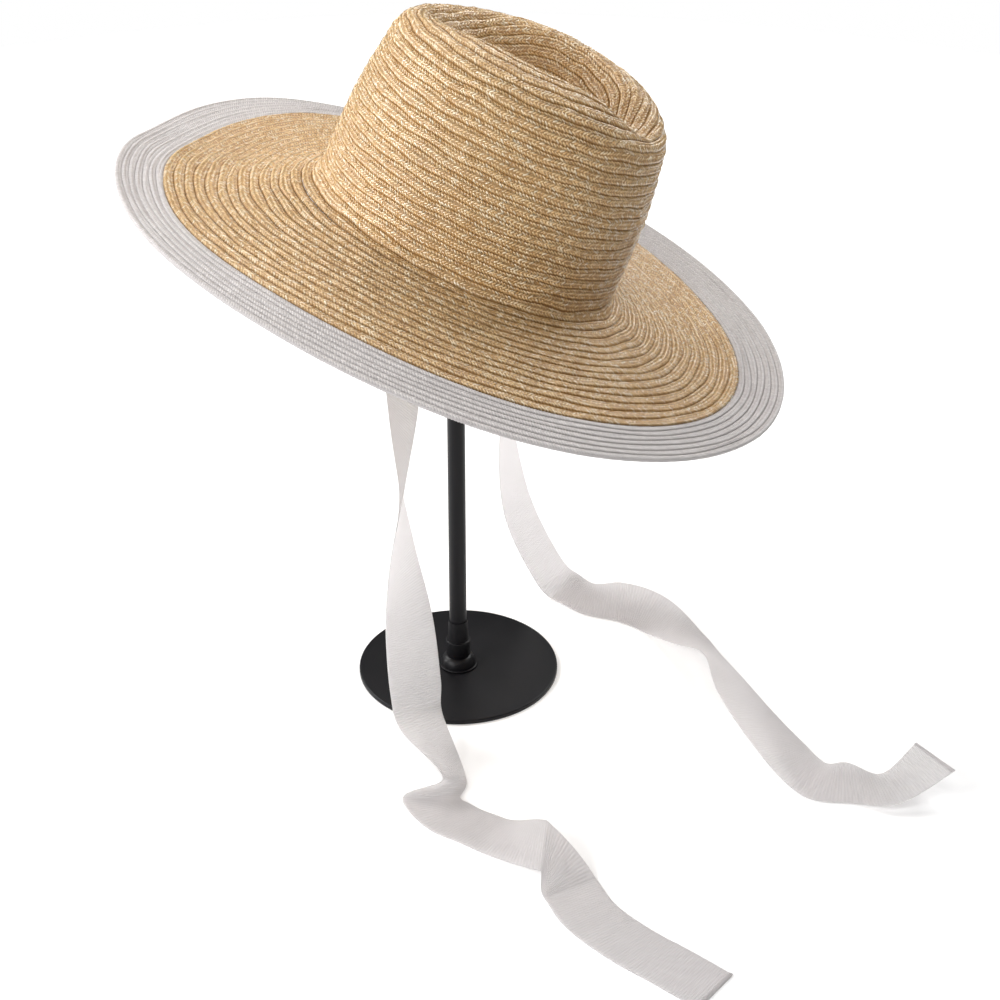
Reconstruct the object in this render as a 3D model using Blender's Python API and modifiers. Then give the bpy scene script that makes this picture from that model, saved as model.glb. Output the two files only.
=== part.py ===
"""Wide-brimmed straw hat with two ribbon ties, held on a plain black display stand.

Metres, +Z up. The origin is the middle of the stand's underside. +X is the viewer's right and
+Y points away from the viewer. The hat has a frame of its own: its origin is the middle of the
head opening, +X points to the front of the hat and +Z up through the crown.
"""
import math

import bpy
from mathutils import Euler, Matrix, Vector

# Clearance between pieces that touch
GAP = 0.0003

# Head opening, measured outside the straw at the foot of the crown
HEAD_LENGTH = 0.205
HEAD_BREADTH = 0.172
STRAW_WALL = 0.0022

# Crown. The shoulder starts below the top, and the foot laps onto the brim outside the fold.
CROWN_HEIGHT = 0.130
SHOULDER_DROP = 0.034
SHOULDER_LEAN = 0.0075
LEAN_POWER = 3
FOLD_RADIUS = 0.008
FOOT_LAP = 0.003
DENT_DEPTH = 0.027
DENT_FLOOR_LENGTH = 0.085
DENT_FLOOR_BREADTH = 0.052

# Brim, measured along the straw from the foot of the crown
BRIM_WIDTH = 0.127
BORDER_WIDTH = 0.0295

# Stand
BASE_RADIUS = 0.070
BASE_THICKNESS = 0.0032
BASE_EDGE = 0.0008
POST_DIAMETER = 0.012
POST_LENGTH = 0.410
FLANGE_WIDTH = 0.0072
FLANGE_HEIGHT = 0.0085
FERRULE_WALL = 0.0022
FERRULE_HEIGHT = 0.009
SLEEVE_WALL = 0.0011
SLEEVE_HEIGHT = 0.019
CAP_RADIUS = 0.038
CAP_SKIRT = 0.020
CAP_TAPER = 0.003

# How the hat sits on the cap: the place in the dent that rests on it, as shares of half the
# dent floor's length and breadth, and the lean and turn of the hat in degrees
SEAT_BACK = 0.835
SEAT_ASIDE = 0.21
LEAN_RIGHT = 22.9
LEAN_BACK = 2.6
TURN = -30.0

# Ribbons. The ties are sewn inside the crown a little behind the middle of each side, in
# degrees round from the front, and the reach is how far each spreads over the floor.
TIE_PLACE = 96.0
RIBBON_WIDTH = 0.038
RIBBON_THICKNESS = 0.001
RIBBON_TUCK = 0.014
NEAR_REACH = 0.310
FAR_REACH = 0.345

# Mesh fineness: points round each ring, and steps along each stretch of a section
CROWN_SIDES = 48
FOLD_STEPS = 4
WALL_STEPS = 5
SHOULDER_STEPS = 6
DENT_STEPS = 6
BRIM_SIDES = 72
BORDER_RINGS = 2
BRIM_RINGS = 6
BASE_SIDES = 56
POST_SIDES = 24
CAP_SIDES = 32
FLANGE_STEPS = 5
CAP_STEPS = 9
STATION_STEPS = 4
SHARP_ANGLE = 40

# The ridge round the dent, from the front to the back of the hat. Height is a share of the
# crown's height, inset a share of half the head's breadth.
# place: ridge height, ridge inset
RIDGE = {
    "front": (0.875, 0.19),
    "side": (1.000, 0.45),
    "back": (0.915, 0.25),
}
FRONT_POINT = 9.0
BACK_POINT = 2.0

# The wave of the brim, evenly spaced round the hat from the front to its left, back and right.
# degrees: slope down at the crown, drop of the edge as a share of the brim's width
BRIM_WAVE = [
    (0, 0.27, 0.110),
    (45, 0.36, 0.020),
    (90, 0.20, 0.045),
    (135, 0.12, 0.150),
    (180, 0.54, 0.290),
    (225, 0.52, 0.320),
    (270, 0.17, 0.243),
    (315, 0.14, 0.200),
]

# The hanging stretch of each ribbon, from the head opening to the floor.
# drop as a share of the opening's height, sway right and away as shares of the reach,
# heading of the ribbon's width in degrees
NEAR_HANG = [
    (0.12, 0.000, 0.000, -42),
    (0.28, 0.000, 0.000, -54),
    (0.45, -0.008, 0.000, -80),
    (0.62, -0.008, 0.000, -114),
    (0.78, 0.006, 0.000, -146),
    (0.90, 0.016, 0.000, -152),
]
FAR_HANG = [
    (0.15, -0.004, 0.010, 130),
    (0.35, -0.010, 0.030, 95),
    (0.52, -0.008, 0.052, 79),
    (0.68, 0.004, 0.080, 66),
    (0.82, 0.033, 0.112, 60),
]

# The lying stretch: right and towards the viewer as shares of the reach, lift as a share of the
# ribbon's width, heading and tip of the ribbon's width in degrees
NEAR_LIE = [
    (0.028, 0.035, 0.36, 222, 8),
    (0.096, 0.190, 0.00, 247, 25),
    (0.049, 0.239, 0.00, 182, 0),
    (0.095, 0.309, 0.00, 217, 0),
    (0.172, 0.364, 0.00, 230, 0),
    (0.280, 0.448, 0.12, 263, -20),
    (0.330, 0.543, 0.00, 209, 0),
    (0.368, 0.630, 0.00, 210, 0),
    (0.438, 0.714, 0.00, 222, 0),
    (0.515, 0.783, 0.00, 229, 0),
    (0.594, 0.857, 0.00, 232, 0),
]
FAR_LIE = [
    (0.107, -0.135, 0.02, 62, 4),
    (0.171, -0.074, 0.00, 74, 4),
    (0.241, -0.041, 0.00, 80, 16),
    (0.312, 0.008, 0.00, 58, 11),
    (0.374, 0.102, 0.00, 56, -16),
    (0.414, 0.186, 0.00, 58, -33),
    (0.453, 0.315, 0.00, 26, -24),
    (0.507, 0.450, 0.00, 28, -12),
    (0.572, 0.573, 0.00, 60, 3),
    (0.642, 0.594, 0.00, 88, 8),
    (0.715, 0.617, 0.06, 100, -6),
    (0.800, 0.586, 0.58, 122, -1),
]


def wave(column, degrees):
    """Smooth closed curve through one column of the brim's wave."""
    count = len(BRIM_WAVE)
    place = degrees / (360 / count)
    first = math.floor(place)
    values = [BRIM_WAVE[(first + k) % count][column] for k in (-1, 0, 1, 2)]
    return smooth(values, place - first)


def smooth(values, share):
    """Curve between the middle two of four values, numbers or vectors."""
    before, start, end, after = values
    pull_in, pull_out = (end - before) * 0.5, (after - start) * 0.5
    square, cube = share ** 2, share ** 3
    return (
        start * (2 * cube - 3 * square + 1) + pull_in * (cube - 2 * square + share)
        + end * (3 * square - 2 * cube) + pull_out * (cube - square)
    )


def oval_point(degrees, inset, height):
    """Point of the hat at an inset from the outside of the head opening."""
    angle = math.radians(degrees)
    return Vector((
        (HEAD_LENGTH / 2 - inset) * math.cos(angle),
        (HEAD_BREADTH / 2 - inset) * math.sin(angle),
        height,
    ))


def brim_point(degrees, along):
    """Point of the brim's upper side, at a length along the straw from the crown's foot."""
    root, edge = wave(1, degrees), wave(2, degrees)
    share = along / BRIM_WIDTH
    slope = root + (edge - root) * share
    out = along * math.cos(math.atan(slope))
    return oval_point(degrees, -out, -along * slope)


def shoulder_height():
    """Height where the crown's side starts to turn over."""
    return CROWN_HEIGHT - SHOULDER_DROP


def wall_inset(height):
    """How far the crown's side leans in at a height, little at first and more above."""
    return SHOULDER_LEAN * (height / shoulder_height()) ** LEAN_POWER


def foot_width():
    """Length of the crown's foot along the brim."""
    return FOLD_RADIUS + FOOT_LAP


def ridge(column, degrees):
    """Ridge height or inset: the side's value, drawn to the front's and the back's."""
    lengthwise = math.cos(math.radians(degrees))
    front = max(lengthwise, 0) ** FRONT_POINT
    back = max(-lengthwise, 0) ** BACK_POINT
    side = 1 - front - back
    return (
        RIDGE["front"][column] * front + RIDGE["side"][column] * side
        + RIDGE["back"][column] * back
    )


def dent_floor_height():
    """Height of the outside of the dent's floor."""
    return CROWN_HEIGHT - DENT_DEPTH


def fold_points(degrees):
    """Foot on the brim and the rounded fold up to the crown's side."""
    outer = brim_point(degrees, FOLD_RADIUS)
    corner = oval_point(degrees, 0, 0)
    upper = oval_point(degrees, wall_inset(FOLD_RADIUS), FOLD_RADIUS)
    points = [brim_point(degrees, foot_width())]
    for step in range(FOLD_STEPS):
        share = step / FOLD_STEPS
        points.append(
            outer * (1 - share) ** 2 + corner * 2 * share * (1 - share) + upper * share ** 2
        )
    return points


def dent_points(degrees, ridge_point):
    """Fall of the dent from the ridge to its floor, and one ring inside the floor."""
    angle = math.radians(degrees)
    floor_point = Vector((
        DENT_FLOOR_LENGTH / 2 * math.cos(angle),
        DENT_FLOOR_BREADTH / 2 * math.sin(angle),
        dent_floor_height(),
    ))
    points = []
    for step in range(DENT_STEPS + 1):
        share = step / DENT_STEPS
        fall = (1 - math.cos(math.pi * share)) / 2
        point = ridge_point.lerp(floor_point, share)
        point.z = ridge_point.z + (floor_point.z - ridge_point.z) * fall
        points.append(point)
    points.append(Vector((floor_point.x / 2, floor_point.y / 2, floor_point.z)))
    return points


def crown_section(degrees):
    """Points of the crown's outside from its foot on the brim to the middle of the dent."""
    points = fold_points(degrees)
    shoulder = shoulder_height()
    for step in range(WALL_STEPS):
        height = FOLD_RADIUS + (shoulder - FOLD_RADIUS) * step / WALL_STEPS
        points.append(oval_point(degrees, wall_inset(height), height))
    ridge_height = CROWN_HEIGHT * ridge(0, degrees)
    ridge_inset = HEAD_BREADTH / 2 * ridge(1, degrees)
    for step in range(SHOULDER_STEPS):
        turn = math.radians(90 * step / SHOULDER_STEPS)
        inset = ridge_inset - (ridge_inset - SHOULDER_LEAN) * math.cos(turn)
        height = shoulder + (ridge_height - shoulder) * math.sin(turn)
        points.append(oval_point(degrees, inset, height))
    return points + dent_points(degrees, oval_point(degrees, ridge_inset, ridge_height))


def collection(name):
    """New collection in the scene."""
    made = bpy.data.collections.new(name)
    bpy.context.scene.collection.children.link(made)
    return made


def finish(name, color, roughness, metallic=0.0):
    """Principled material with one colour."""
    material = bpy.data.materials.new(name)
    material.use_nodes = True
    shader = material.node_tree.nodes["Principled BSDF"]
    shader.inputs["Base Color"].default_value = (*color, 1)
    shader.inputs["Roughness"].default_value = roughness
    shader.inputs["Metallic"].default_value = metallic
    return material


def place(name, mesh, material, parent):
    """Object for a mesh, shaded smooth, in the hat's collection and under its parent."""
    mesh.materials.clear()
    mesh.materials.append(material)
    piece = bpy.data.objects.new(name, mesh)
    PARTS.objects.link(piece)
    piece.parent = parent
    mesh.shade_smooth()
    mesh.set_sharp_from_angle(angle=math.radians(SHARP_ANGLE))
    return piece


def sheet(name, rows, material, parent, thickness, closed, capped=False, offset=-1):
    """Open surface lofted through rows of points, with a wall given by Solidify."""
    count = len(rows[0])
    vertices = [point for row in rows for point in row]
    spans = count if closed else count - 1
    faces = []
    for j in range(len(rows) - 1):
        for k in range(spans):
            near, far = j * count + k, j * count + (k + 1) % count
            faces.append((near, far, far + count, near + count))
    if capped:
        faces.append(tuple(range((len(rows) - 1) * count, len(rows) * count)))
    mesh = bpy.data.meshes.new(name)
    mesh.from_pydata(vertices, [], faces)
    piece = place(name, mesh, material, parent)
    wall = piece.modifiers.new("wall", "SOLIDIFY")
    wall.thickness = thickness
    wall.offset = offset
    wall.use_even_offset = True
    wall.use_quality_normals = True
    return piece


def turned(name, profile, sides, material, parent):
    """Turned piece: a closed profile of radius and height, swept by a Screw modifier."""
    mesh = bpy.data.meshes.new(name)
    loop = [(radius, 0, height) for radius, height in profile]
    edges = [(k, (k + 1) % len(loop)) for k in range(len(loop))]
    mesh.from_pydata(loop, edges, [])
    piece = place(name, mesh, material, parent)
    screw = piece.modifiers.new("turn", "SCREW")
    screw.steps = sides
    screw.render_steps = sides
    screw.use_merge_vertices = True
    screw.merge_threshold = 0.00001
    screw.use_smooth_shade = True
    return piece


def rings(builder, sides):
    """Rows of points, one row for each ring, from a builder of one section."""
    sections = [builder(360 * k / sides) for k in range(sides)]
    return [list(row) for row in zip(*sections)]


def brim_strip(start, end, steps):
    """Section builder for the part of the brim between two lengths."""
    def section(degrees):
        return [
            brim_point(degrees, start + (end - start) * step / steps)
            for step in range(steps + 1)
        ]
    return section


def hat_matrix():
    """Where the hat stands: the underside of the dent rests on the cap."""
    lean = Euler((-math.radians(LEAN_BACK), math.radians(LEAN_RIGHT), 0)).to_matrix()
    turn = lean @ Matrix.Rotation(math.radians(TURN), 3, "Z")
    up = turn @ Vector((0, 0, 1))
    touch = Vector((0, 0, post_top())) + up * (CAP_RADIUS + GAP)
    seat = Vector((
        -SEAT_BACK * DENT_FLOOR_LENGTH / 2,
        -SEAT_ASIDE * DENT_FLOOR_BREADTH / 2,
        dent_floor_height() - STRAW_WALL,
    ))
    return Matrix.Translation(touch - turn @ seat) @ turn.to_4x4()


def post_top():
    """Height of the post's end."""
    return BASE_THICKNESS + GAP + POST_LENGTH


def build_hat(straw, braid):
    """Crown, brim and white border, leaning on the cap."""
    hat = bpy.data.objects.new("hat", None)
    PARTS.objects.link(hat)
    hat.matrix_world = hat_matrix()
    sheet("crown", rings(crown_section, CROWN_SIDES), straw, hat, STRAW_WALL, True, capped=True)
    border_start = BRIM_WIDTH - BORDER_WIDTH
    natural = brim_strip(border_start - GAP, foot_width() + GAP, BRIM_RINGS)
    sheet("brim", rings(natural, BRIM_SIDES), straw, hat, STRAW_WALL, True)
    border = brim_strip(BRIM_WIDTH, border_start, BORDER_RINGS)
    sheet("brim_border", rings(border, BRIM_SIDES), braid, hat, STRAW_WALL, True)


def tucked_rows(side, matrix):
    """Top of a ribbon, held flat to the inside of the crown and just through the opening."""
    clear = STRAW_WALL + GAP + RIBBON_THICKNESS / 2
    half = math.degrees(RIBBON_WIDTH / HEAD_LENGTH)
    rows = []
    for share in (1.0, 0.5, 0.0):
        height = FOLD_RADIUS + RIBBON_TUCK * share
        inset = clear + wall_inset(height) + GAP + RIBBON_THICKNESS * (1 - share)
        left, right = (matrix @ oval_point(side + half * k, inset, height) for k in (-1, 1))
        rows.append([left, (left + right) / 2, right])
    return rows


def ribbon_rows(side, hang, lie, reach):
    """Rows of a ribbon: left edge, middle and right edge, from the crown to the cut end."""
    tucked = tucked_rows(side, hat_matrix())
    exit_point = tucked[-1][1]
    half = RIBBON_WIDTH / 2
    lowest = GAP + RIBBON_THICKNESS / 2
    stations = [(row[1], (row[2] - row[0]).normalized()) for row in tucked]
    for drop, right, away, heading in hang:
        middle = Vector((
            exit_point.x + right * reach,
            exit_point.y + away * reach,
            exit_point.z * (1 - drop),
        ))
        stations.append((middle, direction(heading, 0)))
    for right, towards, lift, heading, tip in lie:
        across = direction(heading, tip)
        middle = Vector((
            exit_point.x + right * reach,
            exit_point.y - towards * reach,
            lowest + half * abs(across.z) + lift * RIBBON_WIDTH,
        ))
        stations.append((middle, across))
    rows = tucked[:2]
    for k in range(2, len(stations) - 1):
        quad = [stations[min(k + n, len(stations) - 1)] for n in (-1, 0, 1, 2)]
        for step in range(STATION_STEPS):
            share = step / STATION_STEPS
            rows.append(ribbon_row(quad, share, half, lowest))
    rows.append(ribbon_row(quad, 1.0, half, lowest))
    return rows


def direction(heading, tip):
    """Unit vector from a heading in the plan and a tip above it."""
    flat, rise = math.radians(heading), math.radians(tip)
    return Vector((
        math.cos(rise) * math.cos(flat), math.cos(rise) * math.sin(flat), math.sin(rise)
    ))


def ribbon_row(quad, share, half, lowest):
    """One row across a ribbon, never under the floor."""
    middles, acrosses = zip(*quad)
    middle = smooth(middles, share)
    across = smooth(acrosses, share).normalized() * half
    middle.z = max(middle.z, lowest + abs(across.z))
    return [middle - across, middle, middle + across]


def build_ribbons(grosgrain):
    """Both ties, each a thin strip that hangs and then lies on the floor."""
    near = ribbon_rows(-TIE_PLACE, NEAR_HANG, NEAR_LIE, NEAR_REACH)
    far = ribbon_rows(TIE_PLACE, FAR_HANG, FAR_LIE, FAR_REACH)
    for name, rows in (("ribbon_near", near), ("ribbon_far", far)):
        piece = sheet(name, rows, grosgrain, None, RIBBON_THICKNESS, False, offset=0)
        piece.modifiers["wall"].use_even_offset = False


def cylinder(name, sides, radius, height, bottom, material, parent):
    """Upright cylinder standing at a height."""
    bpy.ops.mesh.primitive_cylinder_add(vertices=sides, radius=radius, depth=height)
    made = bpy.context.object
    mesh = made.data
    bpy.data.objects.remove(made)
    piece = place(name, mesh, material, parent)
    piece.location.z = bottom + height / 2
    return piece


def quarter(steps):
    """Angles of a quarter turn, from level to just short of upright."""
    return [math.radians(90 * step / steps) for step in range(steps)]


def build_foot(black, stand, bore):
    """Disc with an eased edge, the domed flange on it and the ferrule on the flange."""
    base = cylinder("stand_base", BASE_SIDES, BASE_RADIUS, BASE_THICKNESS, 0, black, stand)
    edge = base.modifiers.new("edge", "BEVEL")
    edge.width = BASE_EDGE
    edge.segments = 2
    edge.limit_method = "ANGLE"

    low = BASE_THICKNESS + GAP
    dome = [
        (bore + FLANGE_WIDTH * math.cos(turn), low + FLANGE_HEIGHT * math.sin(turn))
        for turn in quarter(FLANGE_STEPS)
    ]
    profile = [(bore, low + FLANGE_HEIGHT)] + dome[::-1] + [(bore, low)]
    turned("stand_flange", profile, POST_SIDES, black, stand)

    low += FLANGE_HEIGHT + GAP
    mid = low + FERRULE_HEIGHT
    sleeve, ring = bore + SLEEVE_WALL, bore + FERRULE_WALL
    lip = SLEEVE_WALL / 3
    profile = [
        (bore, mid + SLEEVE_HEIGHT), (bore + lip, mid + SLEEVE_HEIGHT), (sleeve, mid + lip),
        (ring - lip, mid), (ring, mid - lip), (ring, low + lip), (ring - lip, low), (bore, low),
    ]
    turned("stand_ferrule", profile, POST_SIDES, black, stand)


def build_stand(black):
    """Foot, post and the cap under the crown."""
    stand = bpy.data.objects.new("stand", None)
    PARTS.objects.link(stand)
    post = POST_DIAMETER / 2
    bore = post + GAP
    build_foot(black, stand, bore)
    bottom = BASE_THICKNESS + GAP
    cylinder("stand_post", POST_SIDES, post, POST_LENGTH, bottom, black, stand)

    centre = post_top()
    end = centre + GAP
    dome = [
        (CAP_RADIUS * math.cos(turn), centre + CAP_RADIUS * math.sin(turn))
        for turn in quarter(CAP_STEPS)
    ]
    profile = (
        [(0, centre + CAP_RADIUS)] + dome[::-1]
        + [(CAP_RADIUS - CAP_TAPER, centre - CAP_SKIRT), (bore, centre - CAP_SKIRT)]
        + [(bore, end), (0, end)]
    )
    turned("stand_cap", profile, CAP_SIDES, black, stand)


for leftover in list(bpy.data.objects):
    bpy.data.objects.remove(leftover)
PARTS = collection("straw_hat_on_stand")
STRAW = finish("wheat_straw", (0.62, 0.42, 0.20), 0.45)
BRAID = finish("white_braid", (0.74, 0.70, 0.69), 0.60)
GROSGRAIN = finish("white_grosgrain", (0.80, 0.78, 0.78), 0.55)
BLACK = finish("black_enamel", (0.012, 0.012, 0.014), 0.45, 0.0)
build_stand(BLACK)
build_hat(STRAW, BRAID)
build_ribbons(GROSGRAIN)
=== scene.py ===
"""Looks of a sewn straw hat with ribbon ties, standing on a plain black display stand.

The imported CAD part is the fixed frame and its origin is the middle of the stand's underside, in
metres with +Z up. The hat's rows, the ribbons and the stand follow the same sizes as that part.
The hat has a frame of its own: +X points to its front and +Z up through the crown.
"""
from __future__ import annotations

import logging
import math
from dataclasses import dataclass, field
from enum import Enum
from typing import Any, Sequence

import bpy
import numpy as np
from mathutils import Euler, Matrix, Vector


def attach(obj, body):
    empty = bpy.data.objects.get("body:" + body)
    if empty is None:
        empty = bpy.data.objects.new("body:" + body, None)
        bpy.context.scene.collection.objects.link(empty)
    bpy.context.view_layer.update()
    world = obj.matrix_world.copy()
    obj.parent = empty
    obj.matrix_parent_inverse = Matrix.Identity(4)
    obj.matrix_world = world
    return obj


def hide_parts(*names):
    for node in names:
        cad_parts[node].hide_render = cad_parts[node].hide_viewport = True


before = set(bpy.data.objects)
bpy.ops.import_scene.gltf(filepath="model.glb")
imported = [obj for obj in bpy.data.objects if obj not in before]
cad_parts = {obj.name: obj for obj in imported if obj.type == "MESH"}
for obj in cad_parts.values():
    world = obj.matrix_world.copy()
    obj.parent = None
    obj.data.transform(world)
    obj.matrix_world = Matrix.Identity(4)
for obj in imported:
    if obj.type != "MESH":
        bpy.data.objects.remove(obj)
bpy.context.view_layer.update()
LOG = logging.getLogger("straw_hat")

MM = 0.001
GAP = 0.3 * MM
BODY = "root"
PHOTO_SIDE = 1000.0

Triple = tuple[float, float, float]
Color = Triple
Named = tuple[tuple[str, float], ...]

# The wave of the brim, evenly spaced round the hat from the front to its left, back and right.
# degrees: slope down at the crown, drop of the edge as a share of the brim's width
BRIM_WAVE = [
    (0, 0.27, 0.110),
    (45, 0.36, 0.020),
    (90, 0.20, 0.045),
    (135, 0.12, 0.150),
    (180, 0.54, 0.290),
    (225, 0.52, 0.320),
    (270, 0.17, 0.243),
    (315, 0.14, 0.200),
]

# Small flutters of the brim's edge, too slight for the CAD part: place round the hat and reach in
# degrees, more drop as a share of the brim's width
BRIM_FLUTTER = [(186, 11, 0.033), (156, 14, -0.023)]

# The ridge round the dent. place: height as a share of the crown's, inset as a share of half the
# head's breadth
RIDGE = {"front": (0.875, 0.19), "side": (1.000, 0.45), "back": (0.897, 0.25)}

# The hanging stretch of each ribbon: drop as a share of the opening's height, sway right and away
# as shares of the reach, heading of the ribbon's width in degrees
NEAR_HANG = [
    (0.12, 0.000, 0.000, -42),
    (0.28, 0.000, 0.000, -54),
    (0.45, -0.008, 0.000, -80),
    (0.62, -0.008, 0.000, -114),
    (0.78, 0.006, 0.000, -146),
    (0.90, 0.016, 0.000, -152),
]
FAR_HANG = [
    (0.15, -0.004, 0.010, 130),
    (0.35, -0.010, 0.030, 95),
    (0.52, -0.008, 0.052, 79),
    (0.68, 0.004, 0.080, 66),
    (0.82, 0.033, 0.112, 60),
]

# The lying stretch: right and towards the viewer as shares of the reach, lift as a share of the
# ribbon's width, heading and tip of the ribbon's width in degrees
NEAR_LIE = [
    (0.028, 0.035, 0.36, 222, 8),
    (0.096, 0.190, 0.00, 247, 25),
    (0.049, 0.239, 0.00, 182, 0),
    (0.095, 0.309, 0.00, 217, 0),
    (0.172, 0.364, 0.00, 230, 0),
    (0.280, 0.448, 0.12, 263, -20),
    (0.330, 0.543, 0.00, 209, 0),
    (0.368, 0.630, 0.00, 210, 0),
    (0.438, 0.714, 0.00, 222, 0),
    (0.515, 0.783, 0.00, 229, 0),
    (0.594, 0.857, 0.00, 232, 0),
]
FAR_LIE = [
    (0.107, -0.135, 0.02, 62, 4),
    (0.171, -0.074, 0.00, 74, 4),
    (0.241, -0.041, 0.00, 80, 16),
    (0.312, 0.008, 0.00, 58, 11),
    (0.374, 0.102, 0.00, 56, -16),
    (0.414, 0.186, 0.00, 58, -33),
    (0.453, 0.315, 0.00, 26, -24),
    (0.507, 0.450, 0.00, 28, -12),
    (0.572, 0.573, 0.00, 60, 3),
    (0.642, 0.594, 0.00, 88, 8),
    (0.715, 0.617, 0.06, 100, -6),
    (0.800, 0.586, 0.58, 122, -1),
]

# The soft lights: angle from the viewer's side to the right and angle above the floor in
# degrees, power in watts, side in metres
LIGHTS = {
    "key": (-60, 26, 28.0, 1.0),
    "glint_left": (-102, 12, 13.0, 0.45),
    "glint_front": (-38, 12, 6.0, 0.45),
    "rear_left": (-122, 34, 29.0, 1.0),
    "front": (0, 55, 13.0, 1.0),
    "right": (80, 35, 3.5, 1.0),
    "rear": (180, 50, 8.0, 1.0),
    "rear_right": (135, 40, 28.0, 1.0),
}


class Slot(Enum):
    """Material slots of the part's record."""

    STRAW = "straw"
    BRAID = "white_braid"
    GROSGRAIN = "grosgrain"
    ENAMEL = "black_enamel"


class Side(Enum):
    """The two faces of a sewn straw wall, with the sign of their way out."""

    OUTSIDE = 1
    INSIDE = -1


def between(
    values: Sequence[Any], share: Any, breaks: tuple[bool, bool] = (False, False)
) -> Any:
    """Follow a smooth curve between the middle two of four values.

    Args:
        values: The value before, the start, the end and the value after.
        share: How far along from the start to the end, from 0 to 1.
        breaks: Whether the curve may turn sharply at the start and at the end.

    Returns:
        The value there, of the same kind as those given.
    """
    before, start, end, after = values
    pull_in = end - start if breaks[0] else (end - before) * 0.5
    pull_out = end - start if breaks[1] else (after - start) * 0.5
    square, cube = share**2, share**3
    return (
        start * (2 * cube - 3 * square + 1)
        + pull_in * (cube - 2 * square + share)
        + end * (3 * square - 2 * cube)
        + pull_out * (cube - square)
    )


def ease(values: np.ndarray) -> np.ndarray:
    """Ease values from 0 to 1 in and out, held at both ends."""
    held = np.clip(values, 0, 1)
    return held * held * (3 - 2 * held)


def unit(vectors: np.ndarray) -> np.ndarray:
    """Scale vectors to a length of 1.

    Args:
        vectors: The vectors, one in each row.

    Returns:
        The scaled vectors, with straight up in place of those that have no length.
    """
    least = 1e-12
    length = np.linalg.norm(vectors, axis=-1, keepdims=True)
    return np.where(length < least, (0.0, 0.0, 1.0), vectors / np.maximum(length, least))


def heading(flat: float, rise: float) -> np.ndarray:
    """Point along a heading in the plan with a rise above it, both in degrees."""
    turn, tip = math.radians(flat), math.radians(rise)
    return np.array([
        math.cos(tip) * math.cos(turn), math.cos(tip) * math.sin(turn), math.sin(tip)
    ])


class Wire:
    """A socket of a node tree, whose arithmetic adds Math nodes to the tree."""

    def __init__(self, tree: "Nodes", socket: bpy.types.NodeSocket) -> None:
        """Hold a socket and the tree that it is in."""
        self.tree = tree
        self.socket = socket

    def math(self, operation: str, *values: Any) -> "Wire":
        """Add a Math node that works on values or wires."""
        sockets = dict(enumerate(values))
        return self.tree.add("ShaderNodeMath", {"operation": operation}, sockets)["Value"]

    def __add__(self, other: Any) -> "Wire":
        """Add to this wire."""
        return self.math("ADD", self, other)

    def __radd__(self, other: Any) -> "Wire":
        """Add this wire to a number."""
        return self.math("ADD", other, self)

    def __sub__(self, other: Any) -> "Wire":
        """Take away from this wire."""
        return self.math("SUBTRACT", self, other)

    def __rsub__(self, other: Any) -> "Wire":
        """Take this wire away from a number."""
        return self.math("SUBTRACT", other, self)

    def __mul__(self, other: Any) -> "Wire":
        """Multiply this wire."""
        return self.math("MULTIPLY", self, other)

    def __rmul__(self, other: Any) -> "Wire":
        """Multiply a number by this wire."""
        return self.math("MULTIPLY", other, self)


class Made:
    """A node just added, whose outputs are read by name."""

    def __init__(self, tree: "Nodes", node: bpy.types.Node) -> None:
        """Hold a node and the tree that it is in."""
        self.tree = tree
        self.node = node

    def __getitem__(self, name: str) -> Wire:
        """Give the wire of an output that is in use."""
        found = [s for s in self.node.outputs if s.name == name and s.enabled]
        return Wire(self.tree, found[0])


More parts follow.
